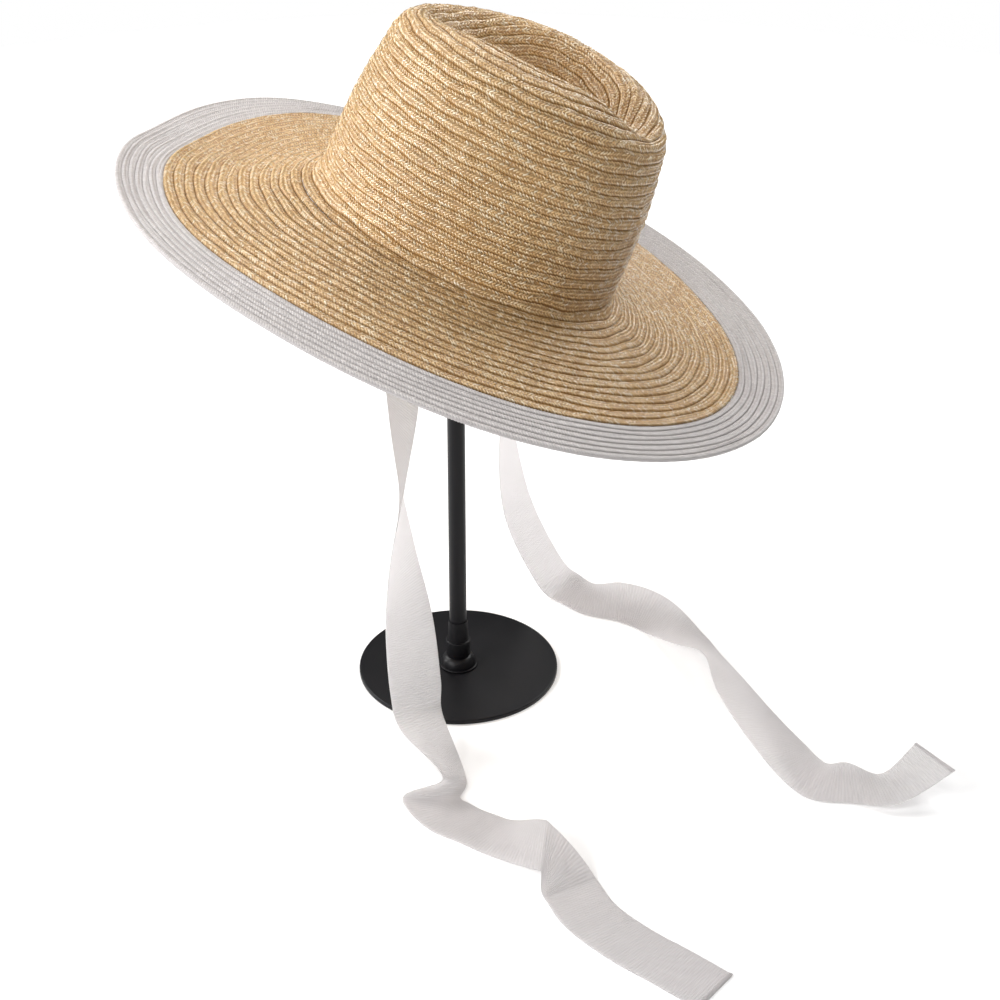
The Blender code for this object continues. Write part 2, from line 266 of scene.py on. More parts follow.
class Nodes:
    """Adds nodes to one tree, of a material or of Geometry Nodes."""

    def __init__(self, tree: bpy.types.NodeTree) -> None:
        """Hold the tree."""
        self.tree = tree

    def add(
        self, kind: str, settings: dict[str, Any] | None = None, sockets: dict | None = None
    ) -> Made:
        """Add a node.

        Args:
            kind: The node's type.
            settings: Its own settings, set first. "stops" are a ramp's places and colours.
            sockets: Values or wires by the name or the number of their input.

        Returns:
            The node, for its outputs.
        """
        node = self.tree.nodes.new(kind)
        for name, value in (settings or {}).items():
            if name == "stops":
                self.set_stops(node.color_ramp.elements, value)
            else:
                setattr(node, name, value)
        for key, value in (sockets or {}).items():
            if isinstance(key, int):
                socket = node.inputs[key]
            else:
                socket = [s for s in node.inputs if s.name == key and s.enabled][0]
            if isinstance(value, Wire):
                self.tree.links.new(value.socket, socket)
            else:
                socket.default_value = value
        return Made(self, node)

    @staticmethod
    def set_stops(elements: Any, stops: Sequence[tuple[float, Color]]) -> None:
        """Give a colour ramp its stops.

        Args:
            elements: The ramp's own stops.
            stops: Place and colour of each stop.
        """
        while len(elements) < len(stops):
            elements.new(1.0)
        for element, (place, color) in zip(elements, stops):
            element.position = place
            element.color = (*color, 1.0)

    def attribute(self, name: str, output: str = "Fac") -> Wire:
        """Read an attribute of the piece's mesh in a material."""
        return self.add("ShaderNodeAttribute", {"attribute_name": name})[output]

    def place(self) -> Wire:
        """Read the place on the piece, in metres."""
        return self.add("ShaderNodeTexCoord")["Object"]

    def vector(self, x: Any = 0.0, y: Any = 0.0, z: Any = 0.0) -> Wire:
        """Join three numbers into a vector."""
        return self.add("ShaderNodeCombineXYZ", None, {"X": x, "Y": y, "Z": z})["Vector"]

    def split(self, vector: Wire) -> Made:
        """Split a vector into three numbers."""
        return self.add("ShaderNodeSeparateXYZ", None, {"Vector": vector})

    def vector_math(self, operation: str, first: Wire, second: Any) -> Wire:
        """Add a Vector Math node that works on two vectors."""
        sockets = {0: first, 1: second}
        return self.add("ShaderNodeVectorMath", {"operation": operation}, sockets)["Vector"]

    def noise(self, vector: Wire, scale: float = 1.0, detail: float = 2.0) -> Wire:
        """Add soft noise from 0 to 1, with scale in waves a metre."""
        return self.add(
            "ShaderNodeTexNoise", None, {"Vector": vector, "Scale": scale, "Detail": detail}
        )["Fac"]

    def ramp(self, value: Wire, stops: Sequence[tuple[float, Color]]) -> Wire:
        """Turn a value into a colour through a ramp."""
        return self.add("ShaderNodeValToRGB", {"stops": stops}, {"Fac": value})["Color"]

    def blend(self, share: Any, first: Any, second: Any, how: str = "MIX") -> Wire:
        """Mix two colours.

        Args:
            share: Share of the second one.
            first: A colour or a wire.
            second: A colour or a wire.
            how: The Mix node's way.

        Returns:
            The mixed colour.
        """
        first, second = ((*c, 1.0) if isinstance(c, tuple) else c for c in (first, second))
        settings = {"data_type": "RGBA", "blend_type": how}
        sockets = {"Factor": share, "A": first, "B": second}
        return self.add("ShaderNodeMix", settings, sockets)["Result"]

    def bump(self, height: Wire, depth: float) -> Wire:
        """Turn a height from 0 to 1 into a normal, with the depth in metres."""
        sockets = {"Height": height, "Distance": depth, "Strength": 1.0}
        return self.add("ShaderNodeBump", None, sockets)["Normal"]

    def stored(self, name: str, kind: str = "FLOAT") -> Wire:
        """Read an attribute in Geometry Nodes."""
        settings = {"data_type": kind}
        return self.add("GeometryNodeInputNamedAttribute", settings, {"Name": name})["Attribute"]

    def store(
        self, geometry: Wire, name: str, value: Wire, kind: str = "FLOAT", domain: str = "POINT"
    ) -> Wire:
        """Give geometry an attribute in Geometry Nodes.

        Args:
            geometry: The geometry.
            name: The attribute's name.
            value: Its value.
            kind: Its data type.
            domain: What carries it.

        Returns:
            The geometry with the attribute.
        """
        settings = {"data_type": kind, "domain": domain}
        sockets = {"Geometry": geometry, "Name": name, "Value": value}
        return self.add("GeometryNodeStoreNamedAttribute", settings, sockets)["Geometry"]

    def random(self, seed: Wire, kind: str = "FLOAT", **limits: Any) -> Wire:
        """Draw a random value for each point, between the limits Min and Max."""
        sockets = {**limits, "Seed": seed}
        return self.add("FunctionNodeRandomValue", {"data_type": kind}, sockets)["Value"]

    def spaced(self, guide: Wire, step: Wire) -> tuple[Wire, Wire]:
        """Set points along guide lines.

        Args:
            guide: Mesh of edges whose points carry "out", the way out of the surface.
            step: Distance between two points.

        Returns:
            The points, and for each the rotation with X along the line and Z out.
        """
        curve = self.add("GeometryNodeMeshToCurve", None, {"Mesh": guide})["Curve"]
        points = self.add(
            "GeometryNodeResampleCurve", {"mode": "LENGTH"}, {"Curve": curve, "Length": step}
        )["Curve"]
        facing = self.add(
            "FunctionNodeAxesToRotation", {"primary_axis": "Z", "secondary_axis": "X"}, {
                0: self.stored("out", "FLOAT_VECTOR"),
                1: self.add("GeometryNodeInputTangent")["Tangent"],
            },
        )["Rotation"]
        return points, facing


def new_material(name: str, constants: dict[str, Any]) -> tuple[bpy.types.Material, Nodes, Any]:
    """Start a material with a Principled shader.

    Args:
        name: The finish's name.
        constants: Values that are the same all over, by the shader's socket names.

    Returns:
        The material, its nodes and the shader's inputs.
    """
    material = bpy.data.materials.new(name)
    material.use_nodes = True
    shader = material.node_tree.nodes["Principled BSDF"]
    for key, value in constants.items():
        shader.inputs[key].default_value = value
    return material, Nodes(material.node_tree), shader.inputs


def feed(nodes: Nodes, inputs: Any, wires: dict[str, Wire]) -> None:
    """Link wires to a shader's inputs."""
    for key, wire in wires.items():
        nodes.tree.links.new(wire.socket, inputs[key])


@dataclass(frozen=True)
class StrawFinish:
    """Split straw: each piece has its own tone, fine fibres along it and a natural gloss."""

    name: str
    stops: tuple[tuple[float, Color], ...]
    roughness: float
    coat: float
    patch_share: float
    fibre_shade: float
    fibre_depth: float = 0.03 * MM
    fibre_roughness: float = 0.2
    # how far apart two straws' fibres are drawn from the noise
    fibre_shift: float = 60.0
    # waves a metre of the soft patches, and of the fibres along and across a straw
    patch_waves: float = 22.0
    fibre_waves: Triple = (240.0, 3200.0, 0.0)
    # share of the fibres' shade that reaches each channel
    fibre_tint: Named = (("Red", 0.7), ("Green", 1.0), ("Blue", 1.2))
    gloss: Named = (("Coat Roughness", 0.15), ("Coat IOR", 1.75), ("IOR", 1.7))

    def build(self) -> bpy.types.Material:
        """Make the material.

        Returns:
            A material that reads the attributes "tone" and "grain" of the straws.
        """
        constants = {"Coat Weight": self.coat, **dict(self.gloss)}
        material, nodes, inputs = new_material(self.name, constants)
        tone = nodes.attribute("tone")
        patches = nodes.noise(nodes.place(), self.patch_waves, detail=3.0)
        shade = tone * (1 - self.patch_share) + patches * self.patch_share
        grain = nodes.vector_math("MULTIPLY", nodes.attribute("grain", "Vector"), self.fibre_waves)
        own = nodes.vector(z=tone * self.fibre_shift)
        fibres = nodes.noise(nodes.vector_math("ADD", grain, own))
        streak = nodes.add("ShaderNodeCombineColor", None, {
            channel: 1 - fibres * (self.fibre_shade * tint) for channel, tint in self.fibre_tint
        })["Color"]
        feed(nodes, inputs, {
            "Base Color": nodes.blend(1.0, nodes.ramp(shade, self.stops), streak, "MULTIPLY"),
            "Roughness": self.roughness + (fibres - 0.5) * self.fibre_roughness,
            "Normal": nodes.bump(fibres, self.fibre_depth),
        })
        return material


@dataclass(frozen=True)
class GrosgrainFinish:
    """Woven ribbon: thin soft white cloth that lets light through, its ribs made in the mesh."""

    name: str = "white_ribbon"
    color: Color = (0.875, 0.862, 0.862)
    # colour of the hollows between the ribs: painted shade, darker than the crests
    hollow_painted_shade: Color = (0.56, 0.55, 0.55)
    # share of the light that passes through the cloth
    thinness: float = 0.82
    roughness: float = 0.52
    thread_roughness: float = 0.2
    thread_depth: float = 0.04 * MM
    # waves a metre of the threads along and across the ribbon, and of the soft cloud
    thread_waves: Triple = (400.0, 2600.0, 0.0)
    cloud_waves: float = 40.0
    cloud_share: float = 0.2
    nap: Named = (("Sheen Weight", 0.2), ("Sheen Roughness", 0.4), ("IOR", 1.45))

    def build(self) -> bpy.types.Material:
        """Make the material.

        Returns:
            A material that reads the attributes "along", "across" and "rib" of a ribbon.
        """
        material, nodes, inputs = new_material(self.name, dict(self.nap))
        strip = nodes.vector(nodes.attribute("along"), nodes.attribute("across"))
        lengths = nodes.vector_math("MULTIPLY", strip, self.thread_waves)
        threads = nodes.noise(lengths, detail=1.0)
        cloud = nodes.noise(nodes.place(), self.cloud_waves)
        # the crests take the white colour and the hollows the darker one: painted shade that
        # follows the ribs raised in the mesh
        lit = nodes.attribute("rib") * 0.5 + 0.5
        share = lit * (1 - self.cloud_share) + cloud * self.cloud_share
        feed(nodes, inputs, {
            "Base Color": nodes.blend(share, self.hollow_painted_shade, self.color),
            "Roughness": self.roughness + threads * self.thread_roughness,
            "Normal": nodes.bump(threads, self.thread_depth),
        })
        surface = material.node_tree.nodes["Material Output"].inputs["Surface"]
        through = nodes.add("ShaderNodeBsdfTranslucent", None, {"Color": (*self.color, 1.0)})
        both = nodes.add("ShaderNodeMixShader", None, {
            0: self.thinness, 1: Wire(nodes, surface.links[0].from_socket), 2: through["BSDF"],
        })
        nodes.tree.links.new(both["Shader"].socket, surface)
        return material


@dataclass(frozen=True)
class EnamelFinish:
    """Black enamel on steel: satin, with the fine orange peel of sprayed paint."""

    name: str = "satin_black_enamel"
    color: Color = (0.004, 0.004, 0.005)
    dust: Color = (0.012, 0.011, 0.013)
    dust_share: float = 0.6
    roughness: float = 0.32
    dust_roughness: float = 0.14
    # waves a metre of the orange peel and of the thin dust
    peel_waves: float = 900.0
    dust_waves: float = 30.0
    peel_depth: float = 0.02 * MM
    shine: Named = (("Specular IOR Level", 0.22),)

    def build(self) -> bpy.types.Material:
        """Make the material.

        Returns:
            A material that changes with the place on the piece.
        """
        material, nodes, inputs = new_material(self.name, dict(self.shine))
        place = nodes.place()
        peel = nodes.noise(place, self.peel_waves, detail=1.0)
        cloud = nodes.noise(place, self.dust_waves, detail=4.0)
        feed(nodes, inputs, {
            "Base Color": nodes.blend(cloud * self.dust_share, self.color, self.dust),
            "Roughness": self.roughness + cloud * self.dust_roughness,
            "Normal": nodes.bump(peel, self.peel_depth),
        })
        return material


@dataclass(frozen=True)
class FloorFinish:
    """Plain pale floor, lit a little from below like a photographer's light table."""

    name: str = "pale_floor"
    color: Color = (0.93, 0.93, 0.93)
    roughness: float = 0.9
    glow: float = 0.14

    def build(self) -> bpy.types.Material:
        """Make the material, which is the same all over."""
        return new_material(self.name, {
            "Base Color": (*self.color, 1.0), "Roughness": self.roughness,
            "Emission Color": (1.0, 1.0, 1.0, 1.0), "Emission Strength": self.glow,
        })[0]


def linked(name: str, data: bpy.types.ID) -> bpy.types.Object:
    """Put a mesh, light or camera in the scene.

    Args:
        name: The object's name.
        data: Its mesh, light or camera.

    Returns:
        The object.
    """
    thing = bpy.data.objects.new(name, data)
    bpy.context.scene.collection.objects.link(thing)
    return thing


def new_mesh(
    name: str, points: np.ndarray, faces: Sequence[Any] = (), edges: Sequence[Any] = ()
) -> bpy.types.Mesh:
    """Make a mesh.

    Args:
        name: The mesh's name.
        points: Its points, in a grid or a list.
        faces: Numbers of each face's points.
        edges: Numbers of each edge's points, where there are no faces.

    Returns:
        The mesh.
    """
    mesh = bpy.data.meshes.new(name)
    mesh.from_pydata(points.reshape(-1, 3).tolist(), list(edges), list(faces))
    return mesh


def add_object(name: str, mesh: bpy.types.Mesh, material: bpy.types.Material) -> bpy.types.Object:
    """Put a mesh in the scene, shaded smooth.

    Args:
        name: The piece's name.
        mesh: Its mesh.
        material: Its finish.

    Returns:
        The piece.
    """
    mesh.materials.append(material)
    mesh.shade_smooth()
    return linked(name, mesh)


def grid_faces(rows: int, columns: int, closed: bool) -> list[tuple[int, ...]]:
    """Join the points of a grid into faces.

    Args:
        rows: Number of rows.
        columns: Number of points in a row.
        closed: Whether the last row joins the first one, and the last point of a row its first.

    Returns:
        The faces, in the order of the rows.
    """
    return [
        (
            j * columns + k,
            j * columns + (k + 1) % columns,
            (j + 1) % rows * columns + (k + 1) % columns,
            (j + 1) % rows * columns + k,
        )
        for j in range(rows if closed else rows - 1)
        for k in range(columns if closed else columns - 1)
    ]


def add_attribute(mesh: bpy.types.Mesh, name: str, values: np.ndarray) -> None:
    """Give a mesh's points an attribute.

    Args:
        mesh: The mesh.
        name: The attribute's name.
        values: A number or a vector for each point.
    """
    values = np.asarray(values, np.float32)
    kind, key = ("FLOAT", "value") if values.ndim == 1 else ("FLOAT_VECTOR", "vector")
    attribute = mesh.attributes.new(name, kind, "POINT")
    attribute.data.foreach_set(key, values.ravel())


def add_guide(
    name: str, points: np.ndarray, out: np.ndarray, edges: Sequence[Any]
) -> bpy.types.Object:
    """Draw the lines that straws or stitches follow.

    Args:
        name: The guide's name.
        points: Points of the lines.
        out: The way out of the surface at each point.
        edges: Numbers of each edge's points.

    Returns:
        A mesh of edges whose points carry "out".
    """
    mesh = new_mesh(name, points, edges=edges)
    add_attribute(mesh, "out", out)
    return linked(name, mesh)


def hand_over(piece: bpy.types.Object, node: str) -> None:
    """Ride a finished piece on the body and report it.

    Args:
        piece: The piece.
        node: The CAD node that it stands for.
    """
    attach(piece, BODY)
    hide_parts(node)
    piece.data.calc_loop_triangles()
    LOG.info("%s: %d triangles", piece.name, len(piece.data.loop_triangles))


def applied(piece: bpy.types.Object) -> None:
    """Turn a piece's live modifiers into plain mesh.

    Args:
        piece: The piece, which keeps its name.
    """
    graph = bpy.context.evaluated_depsgraph_get()
    made = bpy.data.meshes.new_from_object(
        piece.evaluated_get(graph), preserve_all_data_layers=True, depsgraph=graph
    )
    piece.modifiers.clear()
    piece.data = made


def socket_id(tree: bpy.types.NodeTree, name: str) -> str:
    """Find the identifier of a tree's input."""
    return [s for s in tree.interface.items_tree if s.name == name][0].identifier


def grow(piece: bpy.types.Object, tree: bpy.types.NodeTree, values: dict[str, Any]) -> None:
    """Run Geometry Nodes on a piece and keep the result as its mesh.

    Args:
        piece: The object with the guide or surface that the tree works on.
        tree: The node tree.
        values: The tree's inputs by name.
    """
    modifier = piece.modifiers.new(tree.name, "NODES")
    modifier.node_group = tree
    for name, value in values.items():
        modifier[socket_id(tree, name)] = value
    applied(piece)


def start_tree(name: str, *inputs: str) -> tuple[Nodes, Made]:
    """Start a Geometry Nodes tree.

    Args:
        name: The tree's name.
        inputs: Names of its inputs after the geometry: numbers, a "Seed" and a "Finish".

    Returns:
        The tree's nodes and its input node.
    """
    kinds = {
        "Geometry": "NodeSocketGeometry", "Seed": "NodeSocketInt", "Finish": "NodeSocketMaterial",
    }
    tree = bpy.data.node_groups.new(name, "GeometryNodeTree")
    for key in ("Geometry", *inputs):
        kind = kinds.get(key, "NodeSocketFloat")
        tree.interface.new_socket(key, in_out="INPUT", socket_type=kind)
    tree.interface.new_socket("Geometry", in_out="OUTPUT", socket_type=kinds["Geometry"])
    nodes = Nodes(tree)
    return nodes, nodes.add("NodeGroupInput")


def end_tree(nodes: Nodes, geometry: Wire, material: Wire) -> bpy.types.NodeTree:
    """Finish a tree: real meshes, smooth, in their material.

    Args:
        nodes: The tree's nodes.
        geometry: What they make.
        material: Its finish.

    Returns:
        The tree.
    """
    real = nodes.add("GeometryNodeRealizeInstances", None, {"Geometry": geometry})["Geometry"]
    soft = nodes.add("GeometryNodeSetShadeSmooth", None, {"Geometry": real})["Geometry"]
    dressed = nodes.add("GeometryNodeSetMaterial", None, {"Geometry": soft, "Material": material})
    nodes.add("NodeGroupOutput", None, {"Geometry": dressed["Geometry"]})
    return nodes.tree


def plait_tree() -> bpy.types.NodeTree:
    """Build the tree that lays leaning straws along the lanes of a plait.

    Returns:
        A tree for a guide mesh of closed loops. Its points carry "out", the way out of the straw
        wall, and "lane", 0 or 1 for the two ways that the straws lean.
    """
    # how much shorter a straw's ridge is than its foot, share of the tilt that turns it about its
    # width and about the way out, range of its size, and distance that merges its ridge's corners
    shortening, steadiness, sizes, weld = 0.3, 0.6, {"Min": 0.9, "Max": 1.1}, 0.01 * MM
    nodes, given = start_tree(
        "plait", "Straw Pitch", "Straw Length", "Straw Width", "Straw Height", "Lean", "Tilt",
        "Seed", "Finish",
    )
    points, facing = nodes.spaced(given["Geometry"], given["Straw Pitch"])
    size = nodes.vector(given["Straw Length"], given["Straw Width"], given["Straw Height"])
    block = nodes.add("GeometryNodeMeshCube", None, {"Size": size})["Mesh"]
    # each block becomes a ridged straw: its upper side is drawn together and shortened, and its
    # lower corners slant so that straws of two lanes meet along a line
    spot = nodes.split(nodes.add("GeometryNodeInputPosition")["Position"])
    upper = spot["Z"].math("GREATER_THAN", spot["Z"], 0.0)
    width, short = spot["Y"] * (1 - upper), 1 - upper * shortening
    shapes = nodes.add("GeometryNodeJoinGeometry")
    for way in (-1.0, 1.0):
        slant = given["Lean"].math("TANGENT", given["Lean"] * 2.0 - math.pi / 2) * way
        bent = nodes.vector((spot["X"] + width * slant) * short, width, spot["Z"])
        raised = nodes.add("GeometryNodeSetPosition", None, {"Geometry": block, "Position": bent})
        shape = nodes.add(
            "GeometryNodeMergeByDistance", None,
            {"Geometry": raised["Geometry"], "Distance": weld},
        )
        grained = nodes.store(shape["Geometry"], "grain", bent, "FLOAT_VECTOR")
        single = nodes.add("GeometryNodeGeometryToInstance", None, {0: grained})
        nodes.tree.links.new(single["Instances"].socket, shapes.node.inputs[0])
    lane, tilt, seed = nodes.stored("lane"), given["Tilt"], given["Seed"]
    ends = {"Min": (-1.0, -1.0, -1.0), "Max": (1.0, 1.0, 1.0)}
    wobble = nodes.split(nodes.random(seed, "FLOAT_VECTOR", **ends))
    turn = nodes.vector(
        wobble["X"] * tilt,
        wobble["Y"] * tilt * steadiness,
        given["Lean"] * (lane * 2.0 - 1.0) + wobble["Z"] * tilt * steadiness,
    )
    by = nodes.add("FunctionNodeEulerToRotation", None, {"Euler": turn})["Rotation"]
    rotation = nodes.add(
        "FunctionNodeRotateRotation", {"rotation_space": "LOCAL"},
        {"Rotation": facing, "Rotate By": by},
    )["Rotation"]
    laid = nodes.add("GeometryNodeInstanceOnPoints", None, {
        "Points": points, "Instance": shapes["Geometry"], "Pick Instance": True,
        "Instance Index": lane, "Rotation": rotation, "Scale": nodes.random(seed + 1, **sizes),
    })["Instances"]
    toned = nodes.store(laid, "tone", nodes.random(seed + 2), domain="INSTANCE")
    return end_tree(nodes, toned, given["Finish"])


def rib_tree() -> bpy.types.NodeTree:
    """Build the tree that raises a ribbon's cross ribs.

    Returns:
        A tree for a strip whose points carry "along" in metres and "across" from -1 to 1.
    """
    nodes, given = start_tree("ribs", "Rib Pitch", "Rib Height", "Selvedge", "Finish")
    along, across = nodes.stored("along"), nodes.stored("across")
    phase = along.math("DIVIDE", along * (2 * math.pi), given["Rib Pitch"])
    wave = along.math("COSINE", phase)
    inner = along.math("LESS_THAN", along.math("ABSOLUTE", across), 1 - given["Selvedge"])
    rib = wave * inner
    offset = nodes.add(
        "ShaderNodeVectorMath", {"operation": "SCALE"},
        {0: nodes.add("GeometryNodeInputNormal")["Normal"], "Scale": rib * given["Rib Height"]},
    )["Vector"]
    kept = nodes.store(given["Geometry"], "rib", rib)
    raised = nodes.add("GeometryNodeSetPosition", None, {"Geometry": kept, "Offset": offset})
    return end_tree(nodes, raised["Geometry"], given["Finish"])


def stitch_tree() -> bpy.types.NodeTree:
    """Build the tree that sews stitches along a guide line.

    Returns:
        A tree for a guide mesh of edges whose points carry "out", the way out of the cloth.
    """
    nodes, given = start_tree("stitches", "Stitch Pitch", "Stitch Length", "Thread", "Finish")
    points, facing = nodes.spaced(given["Geometry"], given["Stitch Pitch"])
    bead = nodes.add(
        "GeometryNodeMeshUVSphere", None, {"Segments": 6, "Rings": 5, "Radius": 0.5}
    )["Mesh"]
    scale = nodes.vector(given["Stitch Length"], given["Thread"], given["Thread"])
    laid = nodes.add("GeometryNodeInstanceOnPoints", None, {
        "Points": points, "Instance": bead, "Rotation": facing, "Scale": scale,
    })["Instances"]
    return end_tree(nodes, laid, given["Finish"])


@dataclass(frozen=True)
class HatForm:
    """The shape of the hat's straw wall, with the CAD part's own sizes."""

    head_length: float = 0.205
    head_breadth: float = 0.172
    wall: float = 0.0022
    crown_height: float = 0.130
    shoulder_drop: float = 0.034
    shoulder_lean: float = 0.0075
    lean_power: float = 3.0
    fold_radius: float = 0.008
    foot_lap: float = 0.003
    dent_depth: float = 0.027
    floor_length: float = 0.085
    floor_breadth: float = 0.052
    brim_width: float = 0.127
    border_width: float = 0.0295
    front_point: float = 9.0
    back_point: float = 2.0
    seat_back: float = 0.835
    seat_aside: float = 0.21
    lean_right: float = 22.9
    lean_back: float = 2.6
    turn: float = -30.0
    cap_touch: float = 0.4135
    cap_radius: float = 0.038

    def wave(self, column: int, degrees: np.ndarray) -> np.ndarray:
        """Follow one column of the brim's wave round the hat.

        Args:
            column: Number of the column in BRIM_WAVE.
            degrees: Angles round the hat.

        Returns:
            The column's value at each angle.
        """
        table = np.array(BRIM_WAVE)[:, column]
        place = np.asarray(degrees, float) / (360 / len(table))
        first = np.floor(place).astype(int)
        values = [table[(first + k) % len(table)] for k in (-1, 0, 1, 2)]
        return between(values, place - first)

    def oval(self, degrees: Any, inset: Any, height: Any) -> np.ndarray:
        """Find points at an inset from the outside of the head opening.

        Args:
            degrees: Angles round the hat.
            inset: Distance inwards from the opening.
            height: Height above the crown's foot.

        Returns:
            The points.
        """
        angle = np.radians(degrees)
        x = (self.head_length / 2 - inset) * np.cos(angle)
        y = (self.head_breadth / 2 - inset) * np.sin(angle)
        return np.stack(np.broadcast_arrays(x, y, height), axis=-1)

    def brim(self, degrees: Any, along: Any) -> np.ndarray:
        """Find points on the brim.

        Args:
            degrees: Angles round the hat.
            along: Length along the brim from the crown's foot.

        Returns:
            The points.
        """
        root, edge = self.wave(1, degrees), self.wave(2, degrees)
        for place, reach, drop in BRIM_FLUTTER:
            edge = edge + drop * np.exp(-(((np.asarray(degrees) - place) / reach) ** 2))
        slope = root + (edge - root) * along / self.brim_width
        return self.oval(degrees, -along * np.cos(np.arctan(slope)), -along * slope)

    @property
    def shoulder(self) -> float:
        """Height where the crown's side starts to turn over."""
        return self.crown_height - self.shoulder_drop

    @property
    def foot(self) -> float:
        """Length of the crown's foot along the brim."""
        return self.fold_radius + self.foot_lap

    @property
    def border_start(self) -> float:
        """Length from the crown's foot to the white border."""
        return self.brim_width - self.border_width

    def wall_inset(self, height: Any) -> Any:
        """Lean of the crown's side at a height."""
        return self.shoulder_lean * (height / self.shoulder) ** self.lean_power

    def ridge(self, column: int, degrees: np.ndarray) -> np.ndarray:
        """Follow the ridge: the side's value, drawn to the front's and the back's.

        Args:
            column: Number of the column in RIDGE.
            degrees: Angles round the hat.

        Returns:
            The column's value at each angle.
        """
        lengthwise = np.cos(np.radians(degrees))
        front = np.maximum(lengthwise, 0) ** self.front_point
        back = np.maximum(-lengthwise, 0) ** self.back_point
        return (
            RIDGE["front"][column] * front
            + RIDGE["side"][column] * (1 - front - back)
            + RIDGE["back"][column] * back
        )

    def crown_lines(self, degrees: np.ndarray) -> np.ndarray:
        """Follow the crown's outside from its foot to the middle of the dent.

        Args:
            degrees: Angles round the hat.

        Returns:
            Points, one line of them for each angle.
        """
        fold_steps, wall_steps, shoulder_steps, dent_steps, floor_steps = 8, 16, 20, 24, 8
        outer, corner = self.brim(degrees, self.fold_radius), self.oval(degrees, 0.0, 0.0)
        upper = self.oval(degrees, self.wall_inset(self.fold_radius), self.fold_radius)
        points = [self.brim(degrees, self.foot)]
        for k in np.linspace(0, 1, fold_steps, endpoint=False):
            points.append(outer * (1 - k) ** 2 + corner * 2 * k * (1 - k) + upper * k**2)
        for height in np.linspace(self.fold_radius, self.shoulder, wall_steps, endpoint=False):
            points.append(self.oval(degrees, self.wall_inset(height), height))
        top = self.crown_height * self.ridge(0, degrees)
        inset = self.head_breadth / 2 * self.ridge(1, degrees)
        for turn in np.linspace(0, math.pi / 2, shoulder_steps, endpoint=False):
            points.append(self.oval(
                degrees,
                inset - (inset - self.shoulder_lean) * math.cos(turn),
                self.shoulder + (top - self.shoulder) * math.sin(turn),
            ))
        ridge = self.oval(degrees, inset, top)
        angle = np.radians(degrees)
        floor = np.stack([
            self.floor_length / 2 * np.cos(angle),
            self.floor_breadth / 2 * np.sin(angle),
            np.full_like(angle, self.crown_height - self.dent_depth),
        ], axis=-1)
        for k in np.linspace(0, 1, dent_steps, endpoint=False):
            point = ridge + (floor - ridge) * k
            point[:, 2] = ridge[:, 2] + (floor - ridge)[:, 2] * (1 - math.cos(math.pi * k)) / 2
            points.append(point)
        for k in np.linspace(1, 0, floor_steps):
            points.append(floor * (k, k, 1.0))
        return np.stack(points, axis=1)

    def brim_lines(self, degrees: np.ndarray, outer: float, inner: float) -> np.ndarray:
        """Follow the brim inwards between two lengths from the crown's foot."""
        steps = 24
        return self.brim(degrees[:, None], np.linspace(outer, inner, steps)[None, :])

    def matrix(self) -> Matrix:
        """Place the hat, the underside of its dent resting on the stand's cap.

        Returns:
            The move from the hat's frame to the part's.
        """
        lean = Euler((-math.radians(self.lean_back), math.radians(self.lean_right), 0))
        turn = lean.to_matrix() @ Matrix.Rotation(math.radians(self.turn), 3, "Z")
        up = turn @ Vector((0, 0, 1))
        touch = Vector((0, 0, self.cap_touch)) + up * (self.cap_radius + GAP)
        seat = Vector((
            -self.seat_back * self.floor_length / 2,
            -self.seat_aside * self.floor_breadth / 2,
            self.crown_height - self.dent_depth - self.wall,
        ))
        return Matrix.Translation(touch - turn @ seat) @ turn.to_4x4()


@dataclass(frozen=True)
class Plait:
    """One kind of plait: how a row stands up and how its straws lie."""

    straw_pitch: float
    straw_length: float
    straw_width: float
    straw_height: float
    lean: float
    tilt: float
    relief: float
    lip: float
    seed: int
    # share of the row from its lower edge: lift as a share of the relief
    profile: tuple[tuple[float, float], ...] = (
        (0.00, -1.10),
        (0.04, -0.30),
        (0.14, 0.40),
        (0.32, 0.68),
        (0.55, 0.52),
        (0.78, 0.05),
        (0.95, -0.70),
    )
    lanes: tuple[float, ...] = (0.18, 0.50, 0.82)
    plain_lanes: tuple[float, ...] = (0.27, 0.74)
    plain_scale: float = 1.4
    # height of the low swells along a row, and their numbers round the hat
    swell: float = 0.0
    swells: tuple[int, ...] = (19, 31, 47)

    def lift(self, share: float) -> float:
        """Lift of the row's surface at a share of its width."""
        places, lifts = zip(*self.profile)
        return float(np.interp(share, places, lifts)) * self.relief


